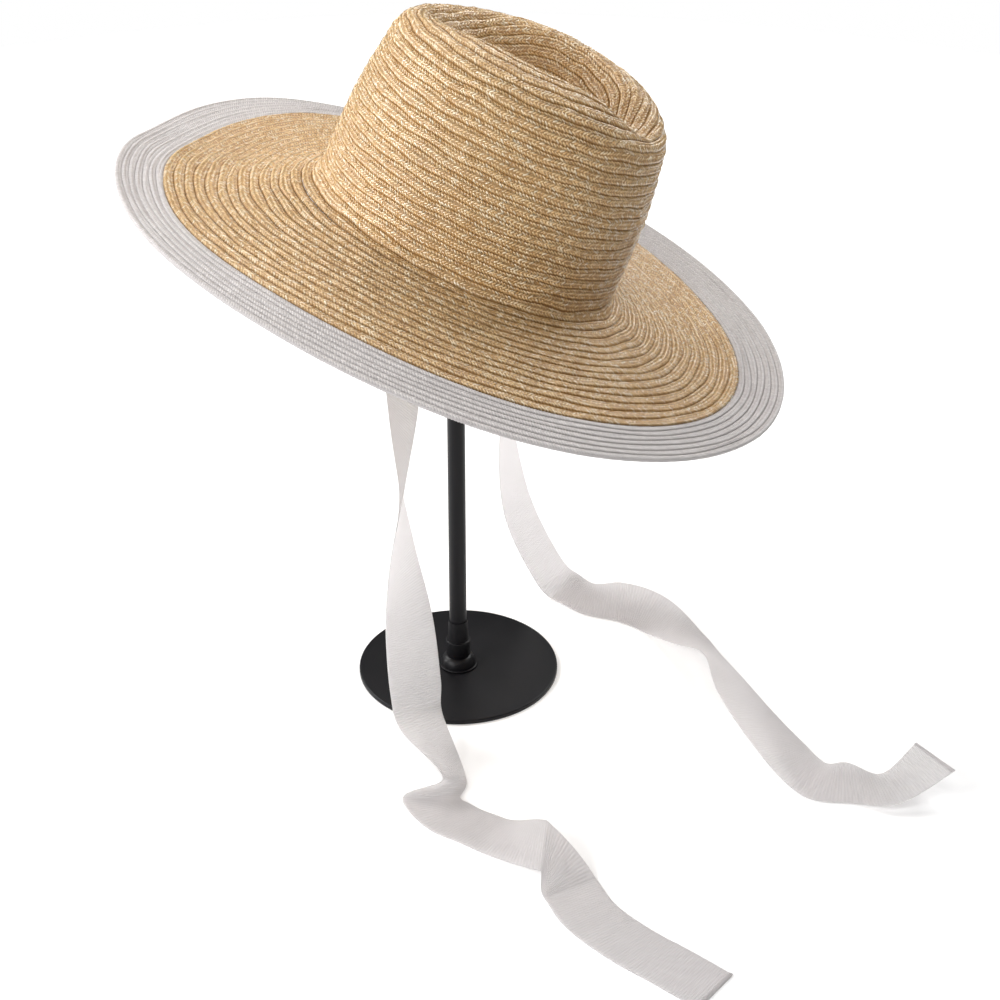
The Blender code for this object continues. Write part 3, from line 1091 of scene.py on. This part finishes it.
class StrawWall:
    """A wall of plait rows, sewn edge over edge along lines on the hat's surface."""

    def __init__(
        self, form: HatForm, lines: np.ndarray, edges: np.ndarray, plait: Plait, tip: bool
    ) -> None:
        """Measure the lines.

        Args:
            form: The hat's shape.
            lines: Points on the outside, one line for each angle round the hat.
            edges: Lengths along each line of the rows' lower edges and of the last upper one.
            plait: The plait that is sewn.
            tip: Whether the lines end in one point.
        """
        self.form, self.lines, self.edges, self.plait, self.tip = form, lines, edges, plait, tip
        steps = np.linalg.norm(np.diff(lines, axis=1), axis=2)
        self.arcs = np.concatenate([np.zeros((len(lines), 1)), np.cumsum(steps, axis=1)], axis=1)
        onward = np.gradient(lines, axis=1)
        round_hat = np.roll(lines, -1, axis=0) - np.roll(lines, 1, axis=0)
        self.normals = unit(np.cross(round_hat, onward))
        if tip:
            self.normals[:, -1] = (0, 0, 1)
        self.matrix = np.array(form.matrix())
        draw = np.random.default_rng(plait.seed)
        turn = np.linspace(0, 2 * math.pi, len(lines), endpoint=False)[:, None]
        self.swells = plait.swell * sum(
            np.sin(waves * turn + draw.uniform(0, 2 * math.pi, edges.shape[1] - 1))
            for waves in plait.swells
        )

    def at(self, arc: np.ndarray) -> tuple[np.ndarray, np.ndarray]:
        """Find places at a length along each line.

        Args:
            arc: The length, for each line.

        Returns:
            The points and the ways out.
        """
        count = self.lines.shape[1]
        stations = np.arange(count)
        place = np.array([np.interp(a, s, stations) for a, s in zip(arc, self.arcs)])
        low = np.clip(place.astype(int), 0, count - 2)
        part = (place - low)[:, None]
        pick = np.arange(len(arc))
        spot, way = (
            table[pick, low] * (1 - part) + table[pick, low + 1] * part
            for table in (self.lines, self.normals)
        )
        return spot, unit(way)

    def ring(self, row: int, share: float, side: Side, extra: float = 0.0) -> np.ndarray:
        """Find one ring of points on a row.

        Args:
            row: Number of the row from the lowest.
            share: Share of the row's width from its lower edge.
            side: The face of the wall.
            extra: More lift above the row's surface.

        Returns:
            One point for each line, in the hat's frame.
        """
        lip_end, lip_fade = 0.25, 0.2
        low, high = self.edges[:, row], self.edges[:, row + 1]
        under = share if side is Side.OUTSIDE else 1 - share
        over = self.plait.lip * ease(np.array((lip_end - under) / lip_fade)) * (under > 0)
        spot, way = self.at(low + (high - low) * share - over * side.value)
        lift = self.plait.lift(under) + extra + self.swells[:, row] * math.sin(math.pi * share)
        depth = 0.0 if side is Side.OUTSIDE else self.form.wall
        return spot + way * side.value * (lift + depth)[:, None]

    def placed(self, points: np.ndarray) -> np.ndarray:
        """Carry points from the hat's frame to the part's."""
        return points @ self.matrix[:3, :3].T + self.matrix[:3, 3]

    def rings(self, side: Side) -> list[np.ndarray]:
        """List the rings of one face from the lowest row up.

        Args:
            side: The face of the wall.

        Returns:
            The rings, in the hat's frame.
        """
        shares = [share for share, _ in self.plait.profile]
        if side is Side.INSIDE:
            shares = sorted(1 - share for share in shares)
        rows = self.edges.shape[1] - 1
        return [self.ring(row, share, side) for row in range(rows) for share in shares]

    def cloth(self, name: str, material: bpy.types.Material) -> bpy.types.Object:
        """Build the wall itself: the rows of both faces, joined at the edges.

        Args:
            name: The piece's name.
            material: Its finish.

        Returns:
            The piece, closed and with its faces outwards.
        """
        rings = self.rings(Side.OUTSIDE) + self.rings(Side.INSIDE)[::-1]
        count = len(self.lines)
        points = np.concatenate(rings)
        faces = grid_faces(len(rings), count, closed=True)
        if self.tip:
            # each face of the wall is closed by a fan where its lines meet
            inner = len(points) // 2
            outer = inner - count
            del faces[outer:inner]
            for start, way in ((outer, 1), (inner, -1)):
                sides = [(start + k, start + (k + 1) % count) for k in range(count)]
                faces += [(*side[::way], len(points)) for side in sides]
                pole = points[start:start + count].mean(axis=0)
                points = np.concatenate([points, pole[None]])
        return add_object(name, new_mesh(name, self.placed(points), faces), material)

    def guides(self, name: str, side: Side) -> bpy.types.Object:
        """Draw the closed lines that the straws of one face follow.

        Args:
            name: The guide's name.
            side: The face of the wall.

        Returns:
            A mesh of edges whose points carry "out" and "lane".
        """
        reach, sunk = 0.06, 0.04 * MM
        spots, outs, lanes, edges = [], [], [], []
        lanes_used = self.plait.lanes if side is Side.OUTSIDE else self.plait.plain_lanes
        count = len(self.lines)
        draw = np.random.default_rng(self.plait.seed)
        for row in range(self.edges.shape[1] - 1):
            for number, share in enumerate(lanes_used):
                middle, low, high = (
                    self.ring(row, share + k, side, sunk) for k in (0, -reach, reach)
                )
                around = np.roll(middle, -1, axis=0) - np.roll(middle, 1, axis=0)
                out = unit(np.cross(around, high - low)) * side.value
                start = int(draw.integers(count))
                first = len(spots) * count
                spots.append(np.roll(middle, start, axis=0))
                outs.append(np.roll(out, start, axis=0))
                lanes.append(np.full(count, float(number % 2)))
                edges += [(first + k, first + (k + 1) % count) for k in range(count)]
        out = np.concatenate(outs) @ self.matrix[:3, :3].T
        piece = add_guide(name, self.placed(np.concatenate(spots)), out, edges)
        add_attribute(piece.data, "lane", np.concatenate(lanes))
        return piece

    def straws(
        self, name: str, side: Side, tree: bpy.types.NodeTree, material: bpy.types.Material
    ) -> bpy.types.Object:
        """Lay the leaning straws of one face.

        Args:
            name: The piece's name.
            side: The face of the wall.
            tree: The plait's Geometry Nodes.
            material: The straws' finish.

        Returns:
            The straws as one plain mesh.
        """
        piece = self.guides(name, side)
        plait = self.plait
        scale = 1.0 if side is Side.OUTSIDE else plait.plain_scale
        grow(piece, tree, {
            "Straw Pitch": plait.straw_pitch * scale,
            "Straw Length": plait.straw_length * scale,
            "Straw Width": plait.straw_width * scale,
            "Straw Height": plait.straw_height,
            "Lean": math.radians(plait.lean),
            "Tilt": math.radians(plait.tilt),
            "Seed": plait.seed + side.value,
            "Finish": material,
        })
        return piece


@dataclass
class Hat:
    """Crown, brim and white border, each a wall of sewn plait."""

    form: HatForm = field(default_factory=HatForm)
    crown_pitch: float = 7.1 * MM
    brim_rows: int = 13
    border_rows: int = 7
    crown_angles: int = 160
    brim_angles: int = 224
    tip_radius: float = 1.6 * MM
    # share of the crown's height up to which its rows are even
    even_share: float = 0.8
    # how far the seams wander as a share of a row, and in how many waves round the hat
    unevenness: float = 0.06
    wander: tuple[int, ...] = (2, 5, 11, 17)
    seed: int = 5
    wheat: Plait = Plait(
        straw_pitch=2.2 * MM, straw_length=3.3 * MM, straw_width=1.7 * MM,
        straw_height=0.6 * MM, lean=29.0, tilt=16.0, relief=1.15 * MM, lip=0.6 * MM, seed=11,
        swell=0.17 * MM,
    )
    white: Plait = Plait(
        straw_pitch=1.9 * MM, straw_length=2.9 * MM, straw_width=1.5 * MM,
        straw_height=0.32 * MM, lean=50.0, tilt=3.5, relief=0.6 * MM, lip=0.3 * MM, seed=23,
        lanes=(0.27, 0.74), plain_scale=1.0,
    )

    @staticmethod
    def angles(count: int) -> np.ndarray:
        """Spread angles evenly round the hat."""
        return np.arange(count) * 360.0 / count

    def sewn(self, edges: np.ndarray) -> np.ndarray:
        """Let the seams between rows wander a little, as sewn ones do.

        Args:
            edges: Lengths of the rows' edges along each line, which are changed.

        Returns:
            The same lengths.
        """
        draw = np.random.default_rng(self.seed)
        turn = np.radians(self.angles(len(edges)))[:, None]
        seams = edges.shape[1] - 2
        wander = sum(
            np.sin(waves * turn + draw.uniform(0, 2 * math.pi, seams)) for waves in self.wander
        )
        pitch = np.diff(edges, axis=1)[:, 1:]
        edges[:, 1:-1] += wander * pitch * self.unevenness
        return edges

    def crown_wall(self) -> StrawWall:
        """Lay the crown's rows: even from the foot, drawn together only round the dent.

        Returns:
            The crown's wall.
        """
        lines = self.form.crown_lines(self.angles(self.crown_angles))
        lengths = np.linalg.norm(np.diff(lines, axis=1), axis=2).sum(axis=1) - self.tip_radius
        rows = round(float(lengths.mean()) / self.crown_pitch)
        even = np.arange(rows + 1) * lengths.mean() / rows
        start = self.form.crown_height * self.even_share
        drawn = ease((even - start) / (even[-1] - start))
        edges = even * (1 + (lengths[:, None] / lengths.mean() - 1) * drawn)
        return StrawWall(self.form, lines, self.sewn(edges), self.wheat, tip=True)

    def flat_wall(self, outer: float, inner: float, rows: int, plait: Plait) -> StrawWall:
        """Lay rows on the brim.

        Args:
            outer: Length from the crown's foot where the rows start.
            inner: Length where they end.
            rows: How many there are.
            plait: The plait that is sewn.

        Returns:
            The wall of that stretch.
        """
        lines = self.form.brim_lines(self.angles(self.brim_angles), outer, inner)
        lengths = np.linalg.norm(np.diff(lines, axis=1), axis=2).sum(axis=1)
        edges = lengths[:, None] * np.linspace(0, 1, rows + 1)[None, :]
        return StrawWall(self.form, lines, self.sewn(edges), plait, tip=False)

    def build(
        self, straw: bpy.types.Material, shade: bpy.types.Material,
        braid: bpy.types.Material, braid_painted_shade: bpy.types.Material,
    ) -> None:
        """Build and hand over every piece of the hat.

        Args:
            straw: Finish of the wheat straws.
            shade: Finish of the wall under them, painted darker than the straws as painted shade
                in the gaps between them.
            braid: Finish of the white straws.
            braid_painted_shade: Finish of the wall under the white ones, painted darker as painted
                shade in the gaps between them.
        """
        form, tree = self.form, plait_tree()
        start, end = form.border_start, form.foot + GAP
        brim = self.flat_wall(start - GAP, end, self.brim_rows, self.wheat)
        border = self.flat_wall(form.brim_width, start, self.border_rows, self.white)
        # each wall wears the darker under finish: painted shade in the gaps between its straws and
        # in the seams between rows
        walls = [
            ("crown", "crown", self.crown_wall(), straw, shade, Slot.STRAW),
            ("brim", "brim", brim, straw, shade, Slot.STRAW),
            ("border", "brim_border", border, braid, braid_painted_shade, Slot.BRAID),
        ]
        for name, node, wall, top, under, slot in walls:
            hand_over(wall.cloth(f"{name}_rows", under), node)
            for side in Side:
                label = f"{name}_straws_{side.name.lower()}"
                hand_over(wall.straws(label, side, tree, top), node)


@dataclass
class Ribbon:
    """One ribbon tie: tucked into the crown, hanging, and lying on the floor to its cut end."""

    name: str
    node: str
    side: float
    hang: list[tuple[float, float, float, float]]
    lie: list[tuple[float, float, float, float, float]]
    reach: float
    flat_length: float
    form: HatForm = field(default_factory=HatForm)
    width: float = 0.038
    cad_thickness: float = 0.001
    thickness: float = 0.0005
    tuck: float = 0.014
    creased: tuple[int, ...] = ()
    # hollows across the ribbon: length along and reach, place across, depth
    cups: tuple[tuple[float, float, float, float], ...] = ()
    cup_breadth: float = 0.45
    # steps between two stations, steps that soften a kink, and the share of the steps on either
    # side of a crease that stays sharper
    fine: int = 30
    soft_steps: int = 10
    sharp_share: float = 0.6
    rib_pitch: float = 1.9 * MM
    rib_height: float = 0.27 * MM
    steps_in_rib: int = 4
    selvedge: float = 0.04
    hem: float = 2.4 * MM
    stitch_pitch: float = 1.7 * MM
    stitch_length: float = 1.2 * MM
    thread: float = 0.35 * MM

    @property
    def lowest(self) -> float:
        """Height of the ribbon's middle where it lies flat."""
        return GAP + self.cad_thickness / 2

    def tucked(self) -> list[tuple[np.ndarray, np.ndarray]]:
        """Hold the ribbon's top flat to the inside of the crown.

        Returns:
            The middle of the ribbon and the way across it, at each of three stations.
        """
        form, matrix = self.form, np.array(self.form.matrix())
        clear = form.wall + GAP + self.cad_thickness / 2
        half = math.degrees(self.width / form.head_length)
        found = []
        for share in (1.0, 0.5, 0.0):
            height = form.fold_radius + self.tuck * share
            inset = clear + form.wall_inset(height) + GAP + self.cad_thickness * (1 - share)
            left, right = (
                matrix[:3, :3] @ form.oval(self.side + half * k, inset, height) + matrix[:3, 3]
                for k in (-1, 1)
            )
            found.append(((left + right) / 2, unit(right - left)))
        return found

    def stations(self) -> list[tuple[np.ndarray, np.ndarray]]:
        """List the ribbon's stations from the crown to the cut end.

        Returns:
            The middle of the ribbon and the way across it, at each of them.
        """
        found = self.tucked()
        x, y, z = found[-1][0]
        half = self.width / 2
        for drop, right, away, flat in self.hang:
            middle = np.array([x + right * self.reach, y + away * self.reach, z * (1 - drop)])
            found.append((middle, heading(flat, 0)))
        for right, towards, lift, flat, tip in self.lie:
            across = heading(flat, tip)
            height = self.lowest + half * abs(across[2]) + lift * self.width
            middle = np.array([x + right * self.reach, y - towards * self.reach, height])
            found.append((middle, across))
        return found

    def rows(self) -> tuple[np.ndarray, np.ndarray, np.ndarray]:
        """Follow the ribbon in even small steps.

        Returns:
            The middles, the half widths across as vectors, and the lengths along.
        """
        stations = self.stations()
        middles, acrosses = [stations[0][0]], [stations[0][1]]
        for k in range(len(stations) - 1):
            quad = [stations[min(max(k + n, 0), len(stations) - 1)] for n in (-1, 0, 1, 2)]
            breaks = k in self.creased, k + 1 in self.creased
            for share in np.linspace(0, 1, self.fine + 1)[1:]:
                middle = between([q[0] for q in quad], share, breaks)
                across = unit(between([q[1] for q in quad], share, breaks))
                middle[2] = max(middle[2], self.lowest + abs(across[2]) * self.width / 2)
                middles.append(middle)
                acrosses.append(across)
        middles, acrosses = np.array(middles), np.array(acrosses)
        middles[:, 2] = self.settled(middles[:, 2])
        arc = np.concatenate([[0], np.cumsum(np.linalg.norm(np.diff(middles, axis=0), axis=1))])
        steps = round(arc[-1] / (self.rib_pitch / self.steps_in_rib))
        along = np.linspace(0, arc[-1], steps + 1)
        middle, across = (
            np.stack([np.interp(along, arc, table[:, axis]) for axis in range(3)], axis=1)
            for table in (middles, acrosses)
        )
        return middle, unit(across) * self.width / 2, along

    def settled(self, heights: np.ndarray) -> np.ndarray:
        """Soften kinks in the height, except at the creases.

        Args:
            heights: Heights along the ribbon.

        Returns:
            The softened heights.
        """
        weights = np.hanning(2 * self.soft_steps + 3)[1:-1]
        padded = np.pad(heights, self.soft_steps, "edge")
        soft = np.convolve(padded, weights / weights.sum(), "valid")
        places = np.arange(len(heights))
        keep = np.zeros(len(heights))
        for crease in self.creased:
            away = np.abs(places - crease * self.fine)
            keep = np.maximum(keep, 1 - away / (self.fine * self.sharp_share))
        return soft + (heights - soft) * ease(keep)

    def surface(self) -> tuple[np.ndarray, np.ndarray, np.ndarray, np.ndarray]:
        """Find the ribbon's middle surface.

        Returns:
            A grid of points, the way out at each row, the lengths along and the places across.
        """
        middle, half, along = self.rows()
        edge = 1 - self.selvedge
        columns = np.array([-1, -edge, -0.72, -0.48, -0.24, 0, 0.24, 0.48, 0.72, edge, 1])
        points = middle[:, None] + half[:, None] * columns[None, :, None]
        out = unit(np.cross(half, np.gradient(middle, axis=0)))
        for place, reach, column, depth in self.cups:
            near = np.exp(-((along - place) / reach) ** 2)[:, None]
            bulge = np.exp(-((columns - column) / self.cup_breadth) ** 2)[None, :]
            points += (near * bulge * depth)[:, :, None] * out[:, None]
        points[:, :, 2] = np.maximum(points[:, :, 2], GAP + self.thickness)
        return points, out, along, columns

    @staticmethod
    def cloth(
        name: str, points: np.ndarray, along: np.ndarray, columns: np.ndarray,
        material: bpy.types.Material,
    ) -> bpy.types.Object:
        """Make a strip of cloth from a grid of points.

        Args:
            name: The piece's name.
            points: The grid, one row of points for each length along.
            along: The lengths along.
            columns: The places across, from -1 to 1.
            material: The cloth's finish.

        Returns:
            An open strip whose points carry "along" and "across".
        """
        mesh = new_mesh(name, points, grid_faces(len(along), len(columns), closed=False))
        add_attribute(mesh, "along", np.repeat(along, len(columns)))
        add_attribute(mesh, "across", np.tile(columns, len(along)))
        return add_object(name, mesh, material)

    def thicken(self, piece: bpy.types.Object) -> None:
        """Give a strip its thickness.

        Args:
            piece: The strip, changed in place.
        """
        wall = piece.modifiers.new("cloth", "SOLIDIFY")
        wall.thickness = self.thickness
        wall.offset = 0
        applied(piece)

    def stitches(
        self, line: np.ndarray, out: np.ndarray, tree: bpy.types.NodeTree,
        material: bpy.types.Material,
    ) -> bpy.types.Object:
        """Sew one row of stitches.

        Args:
            line: The points that it follows.
            out: The way out of the cloth, for all of them.
            tree: The stitches' Geometry Nodes.
            material: The thread's finish.

        Returns:
            The stitches as one plain mesh.
        """
        edges = [(k, k + 1) for k in range(len(line) - 1)]
        piece = add_guide(f"{self.name}_stitches", line, np.tile(out, (len(line), 1)), edges)
        grow(piece, tree, {
            "Stitch Pitch": self.stitch_pitch, "Stitch Length": self.stitch_length,
            "Thread": self.thread, "Finish": material,
        })
        return piece

    def build(
        self, ribs: bpy.types.NodeTree, seam: bpy.types.NodeTree, material: bpy.types.Material
    ) -> None:
        """Build the ribbon with its hem and stitches, and hand them over.

        Args:
            ribs: The ribs' Geometry Nodes.
            seam: The stitches' Geometry Nodes.
            material: The ribbon's finish.
        """
        points, out, along, columns = self.surface()
        piece = self.cloth(self.name, points, along, columns, material)
        grow(piece, ribs, {
            "Rib Pitch": self.rib_pitch, "Rib Height": self.rib_height,
            "Selvedge": self.selvedge / 2, "Finish": material,
        })
        self.thicken(piece)
        last = along > along[-1] - self.hem
        upward = out[-1] * math.copysign(1.0, out[-1][2])
        folded = points[last] + upward * self.thickness
        hem = self.cloth(f"{self.name}_hem", folded, along[last], columns, material)
        self.thicken(hem)
        line = folded[1:3, 1:-1].mean(axis=0) + upward * self.thickness / 2
        sewn = self.stitches(line, upward, seam, material)
        for part in (piece, hem, sewn):
            hand_over(part, self.node)


@dataclass
class Stand:
    """The plain stand: round foot, domed flange, ferrule, post and the cap in the crown."""

    base_radius: float = 0.070
    base_thickness: float = 0.0032
    base_edge: float = 0.0011
    post_radius: float = 0.006
    post_length: float = 0.410
    flange_width: float = 0.0072
    flange_height: float = 0.0085
    lip_height: float = 0.0012
    ferrule_wall: float = 0.0022
    ferrule_height: float = 0.012
    sleeve_wall: float = 0.0009
    sleeve_top_wall: float = 0.0004
    sleeve_height: float = 0.016
    cap_radius: float = 0.038
    cap_skirt: float = 0.020
    cap_taper: float = 0.003
    # rounded edges: shares of the foot's upper edge and of the ferrule's, then metres
    under_share: float = 0.4
    step_share: float = 0.4
    ferrule_edge: float = 0.5 * MM
    post_edge: float = 0.6 * MM
    # end of the flange's dome and least angle of a sharp edge, in degrees
    dome_end: float = 84.0
    sharp_angle: float = 35.0
    sides: int = 96
    weld: float = 0.001 * MM

    @staticmethod
    def arc(
        radius: float, middle: tuple[float, float], start: float, end: float, steps: int
    ) -> list[tuple[float, float]]:
        """Follow an arc in the plane of radius and height.

        Args:
            radius: The arc's radius.
            middle: Its middle.
            start: Its first angle, in degrees.
            end: Its last angle, in degrees.
            steps: How many steps it has.

        Returns:
            Its points.
        """
        turns = np.radians(np.linspace(start, end, steps + 1))
        return [
            (middle[0] + radius * math.cos(t), middle[1] + radius * math.sin(t)) for t in turns
        ]

    def turned(
        self, name: str, profile: list[tuple[float, float]], material: bpy.types.Material
    ) -> bpy.types.Object:
        """Turn a piece about the post.

        Args:
            name: The piece's name.
            profile: Closed loop of radii and heights, with the material on the left of its way.
            material: The finish.

        Returns:
            The turned piece.
        """
        angles = np.radians(Hat.angles(self.sides))
        radii, heights = np.array(profile).T
        points = np.stack([
            np.outer(radii, np.cos(angles)),
            np.outer(radii, np.sin(angles)),
            np.outer(heights, np.ones(self.sides)),
        ], axis=-1)
        mesh = new_mesh(name, points, grid_faces(len(profile), self.sides, closed=True))
        piece = add_object(name, mesh, material)
        piece.modifiers.new("poles", "WELD").merge_threshold = self.weld
        applied(piece)
        piece.data.set_sharp_from_angle(angle=math.radians(self.sharp_angle))
        return piece

    def build(self, enamel: bpy.types.Material) -> None:
        """Build and hand over the stand's pieces.

        Args:
            enamel: Their finish.
        """
        radius, edge, thick = self.base_radius, self.base_edge, self.base_thickness
        under = edge * self.under_share
        foot = (
            [(0.0, 0.0)]
            + self.arc(under, (radius - under, under), -90, 0, 3)
            + self.arc(edge, (radius - edge, thick - edge), 0, 90, 6)
            + [(0.0, thick)]
        )
        bore, low = self.post_radius + GAP, thick + GAP
        lip = self.lip_height
        dome = [
            (bore + (self.flange_width - lip) * x, low + lip + (self.flange_height - lip) * y)
            for x, y in self.arc(1.0, (0.0, 0.0), 0, self.dome_end, 12)
        ]
        flange = (
            [(bore, low)]
            + self.arc(lip / 2, (bore + self.flange_width - lip / 2, low + lip / 2), -90, 90, 6)
            + dome
            + [(bore, low + self.flange_height)]
        )
        low += self.flange_height + GAP
        mid = low + self.ferrule_height
        ring, edge = bore + self.ferrule_wall, self.ferrule_edge
        ferrule = (
            [(bore, low)]
            + self.arc(edge, (ring - edge, low + edge), -90, 0, 3)
            + self.arc(edge, (ring - edge, mid - edge), 0, 90, 4)
            + [(bore + self.sleeve_wall, mid + edge * self.step_share)]
            + [(bore + self.sleeve_top_wall, mid + self.sleeve_height)]
            + [(bore, mid + self.sleeve_height)]
        )
        bottom, edge = thick + GAP, self.post_edge
        top = bottom + self.post_length
        post = (
            [(0.0, bottom), (self.post_radius, bottom)]
            + self.arc(edge, (self.post_radius - edge, top - edge), 0, 90, 4)
            + [(0.0, top)]
        )
        inner, skirt = top + GAP, top - self.cap_skirt
        cap = (
            [(0.0, inner), (bore, inner), (bore, skirt)]
            + [(self.cap_radius - self.cap_taper, skirt)]
            + self.arc(self.cap_radius, (0.0, top), 0, 90, 18)
        )
        turned = {
            "stand_base": ("foot_disc", foot), "stand_flange": ("foot_flange", flange),
            "stand_ferrule": ("post_ferrule", ferrule), "stand_post": ("upright_post", post),
            "stand_cap": ("crown_cap", cap),
        }
        for node, (name, profile) in turned.items():
            hand_over(self.turned(name, profile, enamel), node)


@dataclass
class Studio:
    """Pale floor, soft lights and the photograph's camera."""

    camera_place: Triple = (0.0, -1.48698, 1.01435)
    pitch: float = 59.467
    yaw: float = -1.134
    focal_pixels: float = 2532.86
    sensor: float = 36.0
    floor_radius: float = 1.35
    floor_sides: int = 64
    aim: Triple = (0.0, 0.0, 0.30)
    light_distance: float = 2.2
    world: float = 0.05

    def camera(self) -> None:
        """Set up the camera where the photograph was taken."""
        data = bpy.data.cameras.new("photo_camera")
        data.sensor_width = self.sensor
        data.lens = self.focal_pixels * self.sensor / PHOTO_SIDE
        camera = linked("photo_camera", data)
        camera.location = self.camera_place
        camera.rotation_euler = (math.radians(self.pitch), 0.0, math.radians(self.yaw))
        bpy.context.scene.camera = camera

    def light(self, name: str, around: float, above: float, watts: float, side: float) -> None:
        """Hang one square soft light, turned to the hat.

        Args:
            name: The light's name.
            around: Angle from the viewer's side to the right, in degrees.
            above: Angle above the floor, in degrees.
            watts: Its power.
            side: Its side, in metres.
        """
        data = bpy.data.lights.new(name, "AREA")
        data.size, data.energy = side, watts
        lamp = linked(name, data)
        way = Vector(heading(around - 90, above)) * self.light_distance
        lamp.location = Vector(self.aim) + way
        lamp.rotation_euler = way.to_track_quat("Z", "Y").to_euler()

    def floor(self) -> None:
        """Lay the round floor."""
        turns = np.radians(Hat.angles(self.floor_sides))
        rim = np.stack([np.cos(turns), np.sin(turns), turns * 0], axis=1) * self.floor_radius
        mesh = new_mesh("floor", rim, [tuple(range(self.floor_sides))])
        add_object("floor", mesh, FloorFinish().build())

    def build(self) -> None:
        """Set up camera, lights, world and floor."""
        self.camera()
        for name, sizes in LIGHTS.items():
            self.light(name, *sizes)
        world = bpy.data.worlds.new("studio")
        world.use_nodes = True
        nodes = Nodes(world.node_tree)
        back = world.node_tree.nodes["Background"].inputs
        back["Color"].default_value = (1.0, 1.0, 1.0, 1.0)
        seen = nodes.add("ShaderNodeLightPath")["Is Camera Ray"]
        feed(nodes, back, {"Strength": seen * (1 - self.world) + self.world})
        bpy.context.scene.world = world
        bpy.context.scene.view_settings.view_transform = "Standard"
        self.floor()


WHEAT = StrawFinish(
    name="wheat_straw",
    stops=(
        (0.05, (0.64, 0.390, 0.150)),
        (0.35, (0.81, 0.540, 0.240)),
        (0.65, (0.92, 0.680, 0.350)),
        (0.92, (0.99, 0.880, 0.640)),
    ),
    roughness=0.28, coat=1.0, patch_share=0.22, fibre_shade=0.30,
)
# The wall under the wheat straws: painted shade, darker than the straws, showing in the gaps
# between them and in the seams between rows
WHEAT_UNDER_PAINTED_SHADE = StrawFinish(
    name="wheat_straw_under_painted_shade",
    stops=((0.0, (0.32, 0.17, 0.05)), (1.0, (0.58, 0.36, 0.14))),
    roughness=0.55, coat=0.0, patch_share=0.80, fibre_shade=0.20,
)
WHITE = StrawFinish(
    name="white_straw",
    stops=((0.0, (0.61, 0.58, 0.57)), (0.5, (0.70, 0.67, 0.66)), (1.0, (0.80, 0.77, 0.76))),
    roughness=0.46, coat=0.0, patch_share=0.30, fibre_shade=0.12,
)
# The wall under the white straws: painted shade, darker than the straws, showing in the gaps
# between them and in the seams between rows
WHITE_UNDER_PAINTED_SHADE = StrawFinish(
    name="white_straw_under_painted_shade",
    stops=((0.0, (0.50, 0.47, 0.47)), (1.0, (0.62, 0.60, 0.60))),
    roughness=0.6, coat=0.0, patch_share=0.80, fibre_shade=0.10,
)


def main() -> None:
    """Build the studio, the stand, the hat and its ribbons."""
    logging.basicConfig(level=logging.INFO, format="%(name)s: %(message)s")
    Studio().build()
    Stand().build(EnamelFinish().build())
    Hat().build(WHEAT.build(), WHEAT_UNDER_PAINTED_SHADE.build(), WHITE.build(), WHITE_UNDER_PAINTED_SHADE.build())
    ribbon, ribs, seam = GrosgrainFinish().build(), rib_tree(), stitch_tree()
    ties = (
        Ribbon("near_tie", "ribbon_near", -96.0, NEAR_HANG, NEAR_LIE, 0.310, 0.716,
               creased=(14, 15), cups=((0.405, 0.028, 0.0, -0.003),)),
        Ribbon("far_tie", "ribbon_far", 96.0, FAR_HANG, FAR_LIE, 0.345, 0.751),
    )
    for tie in ties:
        tie.build(ribs, seam, ribbon)


if __name__ == "__main__":
    main()
